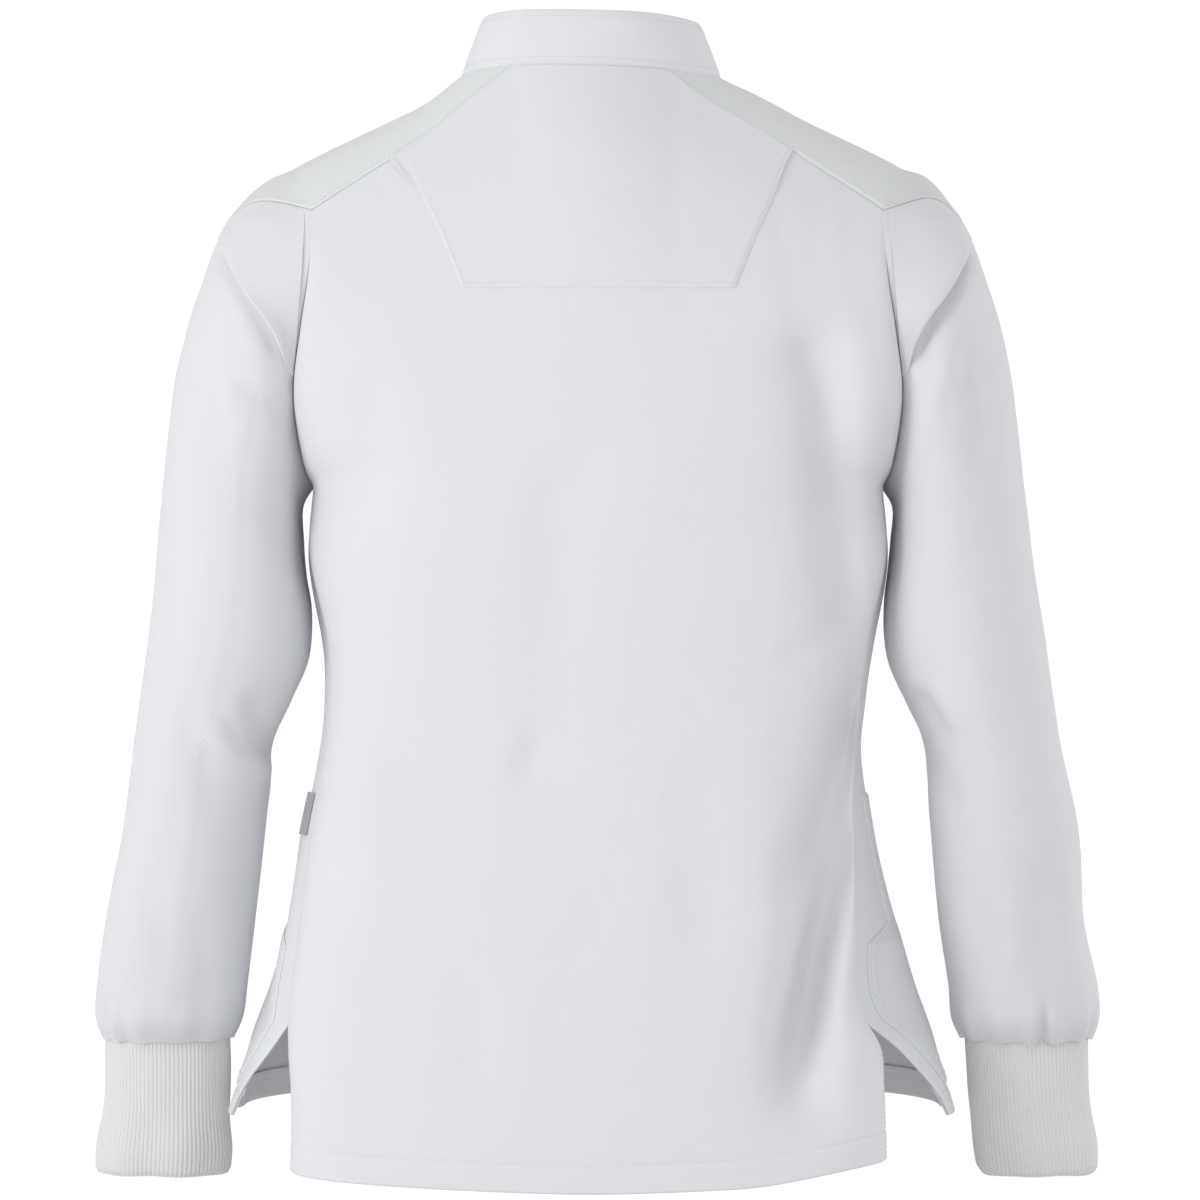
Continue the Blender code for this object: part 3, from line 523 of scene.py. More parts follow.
def fold(where, line, depth, width, ridge, ends=0.30):
    """How far one fold moves the cloth out at the given (x, z) places; troughs are negative."""
    knots = np.linspace(0, 1, len(line))
    line = smooth(knots, np.array(line, float), np.linspace(0, 1, 25))
    nearest = np.full(where.shape[:-1], 1e9)
    signed, along = np.zeros_like(nearest), np.zeros_like(nearest)
    for number, (start, end) in enumerate(zip(line[:-1], line[1:])):
        run = end - start
        gone = where - start
        t = np.clip((gone @ run) / (run @ run), 0, 1)
        distance = np.linalg.norm(gone - t[..., None] * run, axis=-1)
        closer = distance < nearest
        cross = run[0] * gone[..., 1] - run[1] * gone[..., 0]
        nearest = np.where(closer, distance, nearest)
        signed = np.where(closer, np.sign(cross) * distance, signed)
        along = np.where(closer, (number + t) / (len(line) - 1), along)
    strength = ease(along / ends) * ease((1 - along) / ends) if ends else 1.0
    down = 1.0 if line[-1][1] < line[0][1] else -1.0
    beside = bell(down * signed * np.sign(ridge) / width - 1.7)
    return depth * strength * (abs(ridge) * beside - bell(signed / width))


def folds(where, lines):
    """How far several folds together move the cloth out."""
    total = np.zeros(where.shape[:-1])
    for line in lines:
        total += fold(where, *line)
    return total


# ---------------------------------------------------------------- cloth as meshes


def quads(rows, columns, mirrored):
    """The faces of a grid of points, facing out."""
    at = np.arange(rows * columns).reshape(rows, columns)
    faces = np.stack([at[:-1, :-1], at[:-1, 1:], at[1:, 1:], at[1:, :-1]], axis=-1).reshape(-1, 4)
    return faces[:, ::-1] if mirrored else faces


WELD = 1e-6  # points this close are one


def weld(mesh):
    """Joins the edges that a grid has twice, as where a tube's last column meets its first."""
    work = bmesh.new()
    work.from_mesh(mesh)
    bmesh.ops.remove_doubles(work, verts=work.verts, dist=WELD)
    work.to_mesh(mesh)
    work.free()


def surface(name, grid, material, mirrored=False, welded=False):
    """A grid as an object whose UV map, in metres, lies along the cloth."""
    mesh = bpy.data.meshes.new(name)
    faces = quads(*grid.shape[:2], mirrored)
    mesh.from_pydata(grid.reshape(-1, 3).tolist(), [], faces.tolist())
    rows, _, columns, _ = from_edges(grid)
    middle = columns[:, [columns.shape[1] // 2]]
    flat = np.stack([columns - middle, rows], axis=-1).reshape(-1, 2)
    mesh.uv_layers.new(name="cloth").data.foreach_set("uv", flat[faces.ravel()].ravel())
    mesh.materials.append(material)
    if welded:
        weld(mesh)
    mesh.shade_smooth()
    made = bpy.data.objects.new(name, mesh)
    bpy.context.scene.collection.objects.link(made)
    return made


def walled(made, wall):
    """Gives the cloth its thickness, on the inner side."""
    solid = made.modifiers.new("Wall", "SOLIDIFY")
    solid.thickness = wall
    solid.offset = -1.0
    solid.use_even_offset = False
    return made


def plain(made, sharp=60):
    """The object with its modifiers' result as its own mesh."""
    shown = made.evaluated_get(bpy.context.evaluated_depsgraph_get())
    mesh = bpy.data.meshes.new_from_object(shown)
    old = made.data
    made.modifiers.clear()
    made.data = mesh
    bpy.data.meshes.remove(old)
    mesh.name = made.name
    mesh.set_sharp_from_angle(angle=np.radians(sharp))
    return made


def give(made, nodes):
    """Hangs the piece from the root body and hides the solids that it stands for."""
    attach(made, "root")
    if nodes:
        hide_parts(*nodes)
    return made


# ---------------------------------------------------------------- the jacket's surfaces, with folds and seams

STEP = 0.0040  # between the points of a panel's grid
FINE_STEP = 0.0036  # between those of the sleeves and the smaller pieces
CLOTH_WALL = 0.0011
DOUBLE_WALL = 0.0014  # the saddles and the pleats
COLLAR_WALL = 0.0020
CUFF_WALL = 0.0019
TAPE_WALL = 0.0009
HEM_TURN = 0.0026  # thickness of a hem that is turned up inside
HEM_WIDTH = 0.017  # from the edge to its stitching
SEAM_CALM = 0.016  # within this of a seam the small folds fade out
FOLD_FADE = 0.30  # share of a row over which the back's folds fade out towards the side seams
CREASE_FADE = 0.14
GATHERS_FROM = 10.6  # station of a sleeve where its gathers begin
GATHERS_REACH = 1.6
HEAD_CALM = 0.35  # stations below the armhole where the sleeve's folds fade out
CUFF_STEP = 0.0026
POINTS_ON_RIB = 6
MAKING = {}  # the surfaces that several pieces share, made once

SMALL_BACK_FOLDS = (
    (((0.036, -0.262), (0.028, -0.310), (0.022, -0.368)), 0.0010, 0.014, 0.3),
    (((0.034, -0.425), (0.042, -0.445), (0.051, -0.468)), 0.0018, 0.010, 0.4),
    (((0.164, -0.421), (0.150, -0.472), (0.138, -0.523), (0.146, -0.574)), -0.0035, 0.022, 0.0),
    (((-0.060, -0.430), (-0.066, -0.520), (-0.060, -0.610)), 0.0020, 0.020, 0.3),
    (((0.085, -0.560), (0.078, -0.640), (0.080, -0.700)), 0.0018, 0.018, -0.3),
    (((-0.150, -0.185), (-0.146, -0.240), (-0.152, -0.300)), 0.0022, 0.012, 0.4),
    (((0.150, -0.190), (0.142, -0.250), (0.150, -0.320)), 0.0018, 0.014, -0.4),
    (((-0.162, -0.345), (-0.140, -0.372), (-0.112, -0.384)), 0.0016, 0.009, 0.4),
)
FRONT_FOLDS = {
    "left": (
        (((0.150, -0.240), (0.120, -0.300), (0.100, -0.370)), 0.0035, 0.020, 0.4),
        (((0.165, -0.400), (0.135, -0.450), (0.120, -0.520)), 0.0040, 0.020, -0.4),
        (((0.060, -0.200), (0.066, -0.290)), 0.0020, 0.018, 0.3),
        (((0.090, -0.560), (0.100, -0.640)), 0.0022, 0.016, 0.3),
        (((0.030, -0.380), (0.045, -0.440), (0.040, -0.500)), 0.0016, 0.014, 0.3),
    ),
    "right": (
        (((-0.148, -0.232), (-0.124, -0.290), (-0.092, -0.350)), 0.0040, 0.022, -0.4),
        (((-0.166, -0.410), (-0.140, -0.470), (-0.128, -0.560)), 0.0045, 0.022, 0.4),
        (((-0.070, -0.260), (-0.060, -0.330)), 0.0022, 0.016, 0.3),
        (((-0.080, -0.540), (-0.092, -0.650)), 0.0024, 0.018, -0.3),
    ),
}
# Sleeve folds by their side of the arm, with |x| for both sleeves
SLEEVE_FOLDS = {
    ("left", "behind"): (
        (((0.262, -0.165), (0.252, -0.220), (0.246, -0.290)), 0.0030, 0.014, 0.6),
        (((0.236, -0.208), (0.216, -0.216), (0.198, -0.222)), 0.0035, 0.007, -0.5),
        (((0.226, -0.400), (0.218, -0.432), (0.206, -0.460)), 0.0040, 0.007, 0.6),
        (((0.244, -0.412), (0.226, -0.440), (0.208, -0.446)), 0.0035, 0.007, 0.6),
        (((0.272, -0.395), (0.256, -0.450), (0.240, -0.500)), 0.0022, 0.012, -0.4),
        (((0.290, -0.300), (0.285, -0.380), (0.292, -0.450)), 0.0018, 0.014, 0.4),
        (((0.300, -0.500), (0.286, -0.560), (0.280, -0.600)), 0.0020, 0.012, 0.4),
        (((0.262, -0.540), (0.258, -0.590), (0.262, -0.620)), 0.0018, 0.010, -0.4),
    ),
    ("left", "before"): (
        (((0.250, -0.180), (0.236, -0.240), (0.230, -0.310)), 0.0040, 0.013, 0.5),
        (((0.215, -0.200), (0.230, -0.260), (0.232, -0.330)), 0.0030, 0.010, -0.5),
        (((0.225, -0.405), (0.255, -0.425), (0.280, -0.432)), 0.0045, 0.009, 0.6),
        (((0.222, -0.440), (0.250, -0.470), (0.285, -0.480)), 0.0035, 0.010, -0.5),
        (((0.270, -0.520), (0.280, -0.580)), 0.0020, 0.012, 0.4),
    ),
    ("right", "behind"): (
        (((0.237, -0.178), (0.238, -0.196), (0.236, -0.216)), 0.0030, 0.008, -0.6),
        (((0.240, -0.185), (0.245, -0.225), (0.247, -0.270)), 0.0035, 0.009, 0.6),
        (((0.203, -0.400), (0.214, -0.418), (0.228, -0.442)), 0.0045, 0.007, 0.6),
        (((0.200, -0.425), (0.220, -0.455), (0.236, -0.490)), 0.0030, 0.008, -0.5),
        (((0.262, -0.330), (0.268, -0.400), (0.262, -0.460)), 0.0020, 0.014, 0.4),
        (((0.290, -0.280), (0.294, -0.350), (0.300, -0.430)), 0.0016, 0.013, -0.4),
        (((0.295, -0.500), (0.288, -0.560), (0.296, -0.605)), 0.0022, 0.012, 0.4),
        (((0.252, -0.520), (0.256, -0.570), (0.250, -0.610)), 0.0018, 0.010, 0.4),
    ),
    ("right", "before"): (
        (((0.246, -0.175), (0.232, -0.230), (0.222, -0.300)), 0.0045, 0.014, -0.5),
        (((0.210, -0.210), (0.226, -0.270), (0.236, -0.350)), 0.0030, 0.010, 0.5),
        (((0.222, -0.400), (0.250, -0.420), (0.285, -0.424)), 0.0050, 0.010, 0.6),
        (((0.226, -0.436), (0.258, -0.462), (0.290, -0.468)), 0.0030, 0.009, -0.5),
        (((0.290, -0.510), (0.276, -0.570)), 0.0024, 0.012, 0.4),
    ),
}
# Gathers of a sleeve above its cuff: angle round the arm, how far in, and half-width in degrees
GATHERS = {
    "left": ((14, 0.0007, 9), (35, 0.0015, 7), (57, 0.0012, 8), (88, 0.0004, 10), (121, 0.0007, 8),
             (160, 0.0010, 10), (205, 0.0018, 9), (243, 0.0012, 8), (275, 0.0020, 9), (318, 0.0012, 10)),
    "right": ((28, 0.0032, 6), (52, 0.0008, 8), (80, 0.0034, 5), (104, 0.0008, 8), (133, 0.0011, 9),
              (165, 0.0007, 9), (196, 0.0016, 10), (238, 0.0020, 8), (281, 0.0012, 9), (330, 0.0014, 9)),
}
PLEAT_LIFT = {"left": 0.0032, "right": 0.0060}
# About how large these pieces are, to space their points
SADDLE_WIDTH = 0.12
SADDLE_LENGTH = 0.13
YOKE_WIDTH = 0.25
YOKE_HEIGHT = 0.12
POCKET_WIDTH = 0.14

# Topstitching: how far in from its edge each line runs
SADDLE_STITCH = 0.0028
YOKE_STITCH = 0.0030
SLIT_STITCH = 0.008
FRONT_SLIT_REACH = 1.15  # by which the front's slit is longer than its height, as its edge slants
FRONT_EDGE_STITCH = 0.0050
COLLAR_STITCHES = {"first_row": 0.0060, "last_row": 0.0050}
POCKET_STITCHES = (0.0025, 0.0080)


def seam_dip(distances, depth=0.0004, width=0.0014):
    """A groove where the cloth meets its seams."""
    return -depth * sum(bell(distance / width) for distance in distances)


def turned_hem(grid, facing):
    """The grid with its hem turned up inside: down the inside, round the edge and up the outside."""
    depth = from_edges(grid)[0][:, grid.shape[1] // 2]
    count = int(np.argmax(depth >= HEM_WIDTH)) + 1
    inside = (grid[:count] - facing[:count] * HEM_TURN)[::-1]
    down = grid[0] - grid[1]
    down /= np.linalg.norm(down, axis=-1, keepdims=True)
    middle = grid[0] - facing[0] * HEM_TURN / 2
    turns = np.radians((36, 72, 108, 144))
    round_it = [middle + HEM_TURN / 2 * (down * np.sin(a) - facing[0] * np.cos(a)) for a in turns]
    return np.concatenate((inside, np.array(round_it), grid))


def hem_relief(height):
    """The pressed line of the hem's stitching, and the fuller cloth below it."""
    line = -0.0005 * bell((height - HEM_WIDTH) / 0.0014)
    return line + 0.0004 * (1 - ease((height - HEM_WIDTH * 0.85) / 0.004))


def softened(grid, rows, reach=0.035):
    """The grid with the kink where its armholes begin eased along its columns, away from the seams."""
    weights = bell((rows[:, None] - rows) / reach) * np.gradient(rows)
    weights /= weights.sum(axis=1, keepdims=True)
    eased = np.einsum("rk,kcx->rcx", weights, grid)
    near = bell((rows - UNDERARM_SHARE) / 0.09)[:, None]
    _, _, first, last = from_edges(grid)
    return grid + (eased - grid) * (near * ease(np.minimum(first, last) / 0.05))[..., None]


def calm(*distances):
    """1 away from the seams, and 0 on the nearest of them."""
    return ease(np.minimum.reduce(distances) / SEAM_CALM)


def back_cloth():
    """The back with its folds, from one side seam to the other."""
    if "back" not in MAKING:
        length = UP_LENGTH["back"]
        rows = spaced(length, STEP, (0, HEM_WIDTH, length)) / length
        shares = 1 - 2 * spaced(0.5, STEP, (0, 0.5)) / 0.5
        grid = softened(panel(shares, rows, behind=True), rows)
        corner = ease((-grid[..., 0] - CORNER_FROM_X) / 0.10) * ease((CORNER_FROM_Z - grid[..., 2]) / 0.12)
        grid[..., 2] += CORNER_RISE * corner
        grid = placed(grid)
        where = grid[..., [0, 2]]
        from_side = 1 - np.abs(shares)
        sunk = sum(fold(where, *one, ends=None) for one in BACK_FOLDS) * ease(from_side / FOLD_FADE)
        grid[..., 1] += sunk + folds(where, BACK_CREASES) * ease(from_side / CREASE_FADE)
        hem, top, left, right = from_edges(grid)
        out = folds(where, SMALL_BACK_FOLDS) * calm(left, right, top)
        out += seam_dip((top, left, right)) + hem_relief(hem)
        grid = grid + normals(grid) * out[..., None]
        MAKING["back"] = {"grid": grid, "facing": normals(grid), "rows": rows, "shares": shares}
    return MAKING["back"]


def front_cloth(side):
    """A front with its folds, from its free edge to the side seam. The right one laps over the left."""
    if side not in MAKING:
        length = UP_LENGTH["front"]
        rows = spaced(length, STEP, (0, HEM_WIDTH, length)) / length
        whole = FRONT_HALF + FRONT_OVERLAP
        shares = (spaced(whole, STEP, (0, whole)) - FRONT_OVERLAP) / FRONT_HALF
        grid = softened(panel(shares, rows, behind=False), rows)
        mirrored = side == "right"
        if mirrored:
            grid[..., 1] -= LAP_LIFT * ease((LAP_END - shares) / LAP_EASE)
        grid = placed(grid, mirrored)
        where = grid[..., [0, 2]]
        hem, top, edge, seam = from_edges(grid)
        out = folds(where, FRONT_FOLDS[side]) * calm(edge, seam, top)
        out += seam_dip((top, seam)) + hem_relief(hem)
        grid = grid + normals(grid, mirrored) * out[..., None]
        facing = normals(grid, mirrored)
        MAKING[side] = {"grid": grid, "facing": facing, "rows": rows, "shares": shares}
    return MAKING[side]


def corner_at(stations):
    """The angle of the saddle's edges on a sleeve, which narrow to its tip."""
    return ARMHOLE_CORNER * np.maximum(0.0, 1 - stations / SADDLE_TIP)


def sleeve_relief(points, facing, stations, angles, side):
    """How far the folds, the elbow's creases and the gathers above the cuff move a sleeve's cloth out."""
    where = np.stack([np.abs(points[..., 0]), points[..., 2]], axis=-1)
    behind = ease((facing[..., 1] + 0.25) / 0.5)
    out = folds(where, SLEEVE_FOLDS[side, "behind"]) * behind
    out += folds(where, SLEEVE_FOLDS[side, "before"]) * (1 - behind)
    low = ease((stations - GATHERS_FROM) / GATHERS_REACH)
    for angle, depth, width in GATHERS[side]:
        turn = (angles - angle + 180) % 360 - 180
        beside = bell((np.abs(turn) - 1.8 * width) / width)
        out += depth * low * (0.6 * beside - bell(turn / width))
    return out * ease(stations / HEAD_CALM)


def sleeve_points(stations, angles, side):
    """Points and normals of the smooth sleeve of one side, where it hangs."""
    mirrored = side == "right"
    down, round_it = 0.02, 0.5  # steps in stations and degrees, to see which way the cloth faces

    def at(some_stations, some_angles):
        return placed(sleeve_at(some_stations, some_angles, side), mirrored, torso=False)

    points = at(stations, angles)
    low, high = np.maximum(stations - down, 0), np.minimum(stations + down, SLEEVE_END)
    along = at(high, angles) - at(low, angles)
    across = at(stations, angles - round_it) - at(stations, angles + round_it)
    facing = np.cross(across, along) * (-1.0 if mirrored else 1.0)
    facing /= np.maximum(np.linalg.norm(facing, axis=-1, keepdims=True), 1e-12)
    return points, facing


def pleat_line(side):
    """The pleat's free edge as (|x|, z) points, from the armhole up to the saddle's tip."""
    columns = np.linspace(PLEAT["column"][0], PLEAT["column"][-1], 16)
    stations = read(PLEAT, columns, "outer")[:, 0]
    angles = 180 + (180 - corner_at(stations)) * (1 - columns / SLEEVE_COLUMNS)
    points, _ = sleeve_points(stations, angles, side)
    return np.stack([np.abs(points[:, 0]), points[:, 2]], axis=-1)


def sleeve_cloth(side):
    """A sleeve, open along the saddle's tip above and a closed tube below it."""
    name = f"sleeve_{side}"
    if name not in MAKING:
        dense = np.linspace(0, SLEEVE_END, 600)
        line, _ = sleeve_points(dense, np.full(dense.shape, 90.0), side)
        reached = lengths_along(line)
        stations = np.interp(spaced(reached[-1], FINE_STEP, (0, reached[-1])), reached, dense)
        stations = np.sort(np.append(stations[np.abs(stations - SADDLE_TIP) > 0.02], SADDLE_TIP))
        shares = 1 - 2 * spaced(0.5, FINE_STEP, (0, 0.5)) / 0.5
        corner = corner_at(stations)[:, None]
        angles = 180 + (180 - corner) * shares
        stations = np.broadcast_to(stations[:, None], angles.shape).copy()
        grid, facing = sleeve_points(stations, angles, side)
        out = sleeve_relief(grid, facing, stations, angles, side)
        where = np.stack([np.abs(grid[..., 0]), grid[..., 2]], axis=-1)
        beneath = pleat_line(side) + np.array([0.002, -0.001])
        under = fold(where, beneath, PLEAT_LIFT[side], 0.0055, 0.0, ends=0.12)
        out += under * ease((facing[..., 1] - 0.1) / 0.4)
        top, _, first, last = from_edges(grid)
        open_rows = stations < SADDLE_TIP - 1e-6
        out += seam_dip((top,)) + np.where(open_rows, seam_dip((first, last)), 0.0)
        grid = grid + facing * out[..., None]
        closed = np.flatnonzero(~open_rows[:, 0])
        grid[closed, -1] = grid[closed, 0] = (grid[closed, 0] + grid[closed, -1]) / 2
        mirrored = side == "right"
        MAKING[name] = {"grid": grid, "facing": normals(grid, mirrored)}
    return MAKING[name]


def saddle_cloth(side):
    """A saddle, from the neck over the shoulder to its tip on the sleeve."""
    name = f"saddle_{side}"
    if name not in MAKING:
        across = shares_of(SADDLE_WIDTH)
        start = neck(NECK_SADDLE_BACK + (NECK_SADDLE_FRONT - NECK_SADDLE_BACK) * across)
        end = armhole(ARMHOLE_CORNER * (1 - 2 * across))
        rows = [saddle_edge(start, end, t) for t in shares_of(SADDLE_LENGTH)]
        mirrored = side == "right"
        over = [placed(np.array(rows), mirrored, torso=False)]
        stations = np.linspace(0, SADDLE_TIP, 26)[1:]
        angles = corner_at(stations)[:, None] * (1 - 2 * across)
        stations = np.broadcast_to(stations[:, None], angles.shape).copy()
        more, facing = sleeve_points(stations, angles, side)
        relief = sleeve_relief(more, facing, stations, angles, side)
        over.append(more + facing * relief[..., None])
        grid = np.concatenate(over)
        to_tip = ease((SADDLE_TIP - stations[:, 0]) / 0.7)
        fade = np.concatenate((np.ones(len(rows)), to_tip))[:, None, None]
        grid += normals(grid, mirrored) * 0.0005 * fade
        _, _, first, last = from_edges(grid)
        edge = np.minimum(first, last)
        bead = 0.0004 * bell((edge - SADDLE_STITCH) / 0.0016) - 0.0005 * bell(edge / 0.0010)
        grid[:-1] += (normals(grid, mirrored) * bead[..., None] * fade)[:-1]
        MAKING[name] = {"grid": grid, "facing": normals(grid, mirrored)}
    return MAKING[name]


def pleat_cloth(side):
    """The pleat behind a sleeve, whose free edge stands a little off the sleeve and rolls in."""
    first, last = PLEAT["column"][0], PLEAT["column"][-1]
    columns = np.linspace(last, first, 60)[:, None]
    names = "inner second third outer".split()
    lines = np.stack([read(PLEAT, columns[:, 0], name)[:, 0] for name in names], axis=1)
    across = np.concatenate((np.linspace(0, 0.9, 16), (0.93, 0.955, 0.975, 0.99, 1.0)))
    stations = np.array([smooth(np.linspace(0, 1, 4), line, across) for line in lines])
    angles = 180 + (180 - corner_at(stations)) * (1 - columns / SLEEVE_COLUMNS)
    points, facing = sleeve_points(stations, angles, side)
    out = sleeve_relief(points, facing, stations, angles, side)
    tapered = ease((last - columns) / 0.9) * ease((columns - first) / 0.9)
    standing = PLEAT_LIFT[side] * (0.12 + 0.88 * ease(across)) * (0.02 + 0.98 * tapered)
    rolled = -0.0016 * np.clip((across - 0.93) / 0.07, 0, 1) ** 2 * tapered
    backward = ease((facing[..., 1] - 0.25) / 0.45)
    out = out + (standing + rolled) * backward + 0.0004
    out = out + 0.0010 * ease((last - columns) / 1.6) * backward
    return points + facing * out[..., None]


def neck_path():
    """The collar's base: the neck seam from the left front's edge round the back to the right's."""
    round_neck, over_shoulder = seam_line(180, NECK_SADDLE_FRONT, 360 - ARMHOLE_CORNER)
    top = np.concatenate((round_neck, over_shoulder))
    on_neck = lengths_along(round_neck)[-1] / lengths_along(top)[-1]
    shares = np.linspace(-FRONT_OVERLAP / FRONT_HALF, on_neck, 26)
    left = by_length(top, np.abs(shares))
    left[:, 0] *= np.where(shares < 0, -1.0, 1.0)
    right = left * np.array([-1.0, 1.0, 1.0])
    right[:, 1] -= LAP_LIFT * ease((LAP_END - shares) / LAP_EASE)
    behind = neck(np.linspace(NECK_SADDLE_FRONT, -NECK_SADDLE_FRONT, 100)[1:-1])
    return np.concatenate((left, behind, right[::-1]))


def collar_cloth():
    """The stand collar, which closes in towards its top."""
    if "collar" not in MAKING:
        base = by_length(neck_path(), np.linspace(0, 1, 170))
        middle = np.array([0.0, (NECK_BACK_Y + NECK_FRONT_Y) / 2])
        rows = []
        for up in spaced(COLLAR_HEIGHT, 0.0022, (0, COLLAR_HEIGHT)) / COLLAR_HEIGHT:
            line = base.copy()
            closing = 1 - (1 - COLLAR_TOP_SCALE) * ((1 - COLLAR_LATE) * up + COLLAR_LATE * up * up)
            line[:, :2] = middle + (base[:, :2] - middle) * closing
            line[:, 2] += COLLAR_HEIGHT * up
            line[:, 1] += COLLAR_BACK * up
            rows.append(line)
        grid = placed(np.array(rows))
        low, high, _, _ = from_edges(grid)
        turn = np.linspace(0, 1, grid.shape[1])
        ripple = 0.0007 * np.sin(2 * np.pi * (5.3 * turn + 0.2)) * np.sin(np.pi * turn) * ease(low / 0.03)
        stitched = -0.0003 * bell((low - COLLAR_STITCHES["first_row"]) / 0.0012)
        rounded = -0.0006 * bell(high / 0.001)
        out = seam_dip((low,)) + ripple + stitched + rounded
        grid = grid + normals(grid) * out[..., None]
        MAKING["collar"] = {"grid": grid, "facing": normals(grid)}
    return MAKING["collar"]


def cuff_rings(side, columns):
    """The smooth cuff, and for each column how far round it is."""
    mirrored = side == "right"
    around = np.linspace(0, 1, columns)
    turn = np.radians(360 * (1 - around))
    length = CUFF["down"][-1]
    down = spaced(length, CUFF_STEP, (0, length))
    rings = read(CUFF, down, f"{side} y width_{side} depth")
    x = rings[:, [0]] + rings[:, [2]] * np.cos(turn)
    y = rings[:, [1]] + rings[:, [3]] * np.sin(turn)
    grid = np.stack([x, y, np.broadcast_to(CUFF_TOP_Z - down[:, None], x.shape)], axis=-1)
    grid = placed(grid, mirrored, torso=False)
    low = ease((down - 0.035) / 0.04)[:, None]
    later = 1.4 if mirrored else 0.0
    sway = low * (0.0016 * np.sin(3 * turn + 0.6) + 0.0009 * np.sin(7 * turn + 1.1 + later))
    tip = from_edges(grid)[1]
    out = sway - 0.0016 * bell(tip / 0.0022)
    return grid + normals(grid, mirrored) * out[..., None], around


def on_cloth(cloth, up, shares, lift):
    """Points over a panel at row and column shares, moved out by the lift."""
    rows = np.interp(up, cloth["rows"], np.arange(len(cloth["rows"])))
    order = np.argsort(cloth["shares"])
    columns = np.interp(shares, cloth["shares"][order], order.astype(float))
    row = np.clip(rows.astype(int), 0, len(cloth["rows"]) - 2)
    column = np.clip(columns.astype(int), 0, len(cloth["shares"]) - 2)
    up_share, over = (rows - row)[..., None], (columns - column)[..., None]

    def between(values):
        low = values[row, column] * (1 - over) + values[row, column + 1] * over
        high = values[row + 1, column] * (1 - over) + values[row + 1, column + 1] * over
        return low * (1 - up_share) + high * up_share

    facing = between(cloth["facing"])
    facing /= np.linalg.norm(facing, axis=-1, keepdims=True)
    return between(cloth["grid"]) + facing * np.asarray(lift)[..., None]


def front_row(height):
    """The row share of a front at a height of its middle."""
    return (height - FRONT_HEM_Z) / (UNDERARM_Z - FRONT_HEM_Z) * UNDERARM_SHARE


def pocket_cloth(side):
    """A patch pocket, with more rows where its side edge steps in for the hand."""
    heights = np.concatenate((np.linspace(-0.657, -0.566, 34), np.linspace(-0.565, -0.553, 10),
                              np.linspace(-0.552, -0.470, 30)))
    edge = np.interp(heights, POCKET["z"], POCKET["side"])
    up = front_row(heights)
    across = shares_of(POCKET_WIDTH)
    centre = POCKET["centre"][0]
    shares = centre + (edge[:, None] - centre) * across
    ups = np.broadcast_to(up[:, None], shares.shape)
    bulge = np.sin(np.pi * across) * np.sin(np.pi * np.linspace(0, 1, len(up)))[:, None]
    rim = np.minimum(across, 1 - across) * POCKET_WIDTH
    rim = np.minimum(rim, np.minimum(heights - heights[0], heights[-1] - heights)[:, None])
    lift = CLOTH_WALL + LAY_GAP + 0.0016 * bulge - 0.0009 * bell(rim / 0.0014)
    return on_cloth(front_cloth(side), ups, shares, lift)


BEHIND_Y = 0.4  # from behind the jacket the yoke's points are cast onto the back
NEAR_BACK_Y = 0.09


def yoke_cloth():
    """The yoke, from its lower edge up to the saddles' seams and the neck, laid on the back."""
    back = back_cloth()
    grid = back["grid"]
    solid = BVHTree.FromPolygons(grid.reshape(-1, 3).tolist(), quads(*grid.shape[:2], False).tolist())
    seam = grid[-1][::-1]
    across = 2 * shares_of(YOKE_WIDTH) - 1
    rows = []
    for up in shares_of(YOKE_HEIGHT):
        half = YOKE_BOTTOM[0] + (YOKE_TOP_X - YOKE_BOTTOM[0]) * up
        x = across * half + NECK_SHIFT * ease((up - 0.5) * 2)
        top = np.interp(x, seam[:, 0], seam[:, 2]) - 0.0006
        z = YOKE_BOTTOM[1] + (top - YOKE_BOTTOM[1]) * up
        line = []
        for one, height in zip(x, z):
            point, facing, _, _ = solid.ray_cast(Vector((one, BEHIND_Y, height)), Vector((0, -1, 0)))
            if point is None:
                point, facing, _, _ = solid.find_nearest(Vector((one, NEAR_BACK_Y, height)))
            side_rim = (1 - abs(one / half)) * half
            rim = min(side_rim, up * 0.14)
            lift = CLOTH_WALL + LAY_GAP - 0.0010 * bell(rim / 0.0014) * ease((1 - up) / 0.05)
            line.append(point + facing * (lift if facing.y > 0 else -lift))
        rows.append(line)
    return np.array(rows)[:, ::-1]


def tag_cloth():
    """A folded tape in the side seam: out of the seam, round its fold and back."""
    up = front_row(np.linspace(TAG_BOTTOM_Z, TAG_TOP_Z, 12))
    shares = np.linspace(*TAG_SHARES, 16)
    bow = 0.0022 * np.sin(np.pi * np.linspace(0.5, 1.0, len(shares))) + 0.0010
    ups, across = np.meshgrid(up, shares, indexing="ij")
    return on_cloth(front_cloth("left"), ups, across, np.broadcast_to(bow, ups.shape))


# ---------------------------------------------------------------- finishes

HALF_TURN = 3.14159  # in radians


def links(tree, *pairs):
    """Links pairs of an output and an input."""
    for start, end in pairs:
        tree.links.new(start, end)


def maths(tree, operation, *values):
    """A Math node's output, from sockets or numbers."""
    node = tree.nodes.new("ShaderNodeMath")
    node.operation = operation
    for socket, value in zip(node.inputs, values):
        if isinstance(value, (int, float)):
            socket.default_value = value
        else:
            tree.links.new(value, socket)
    return node.outputs[0]


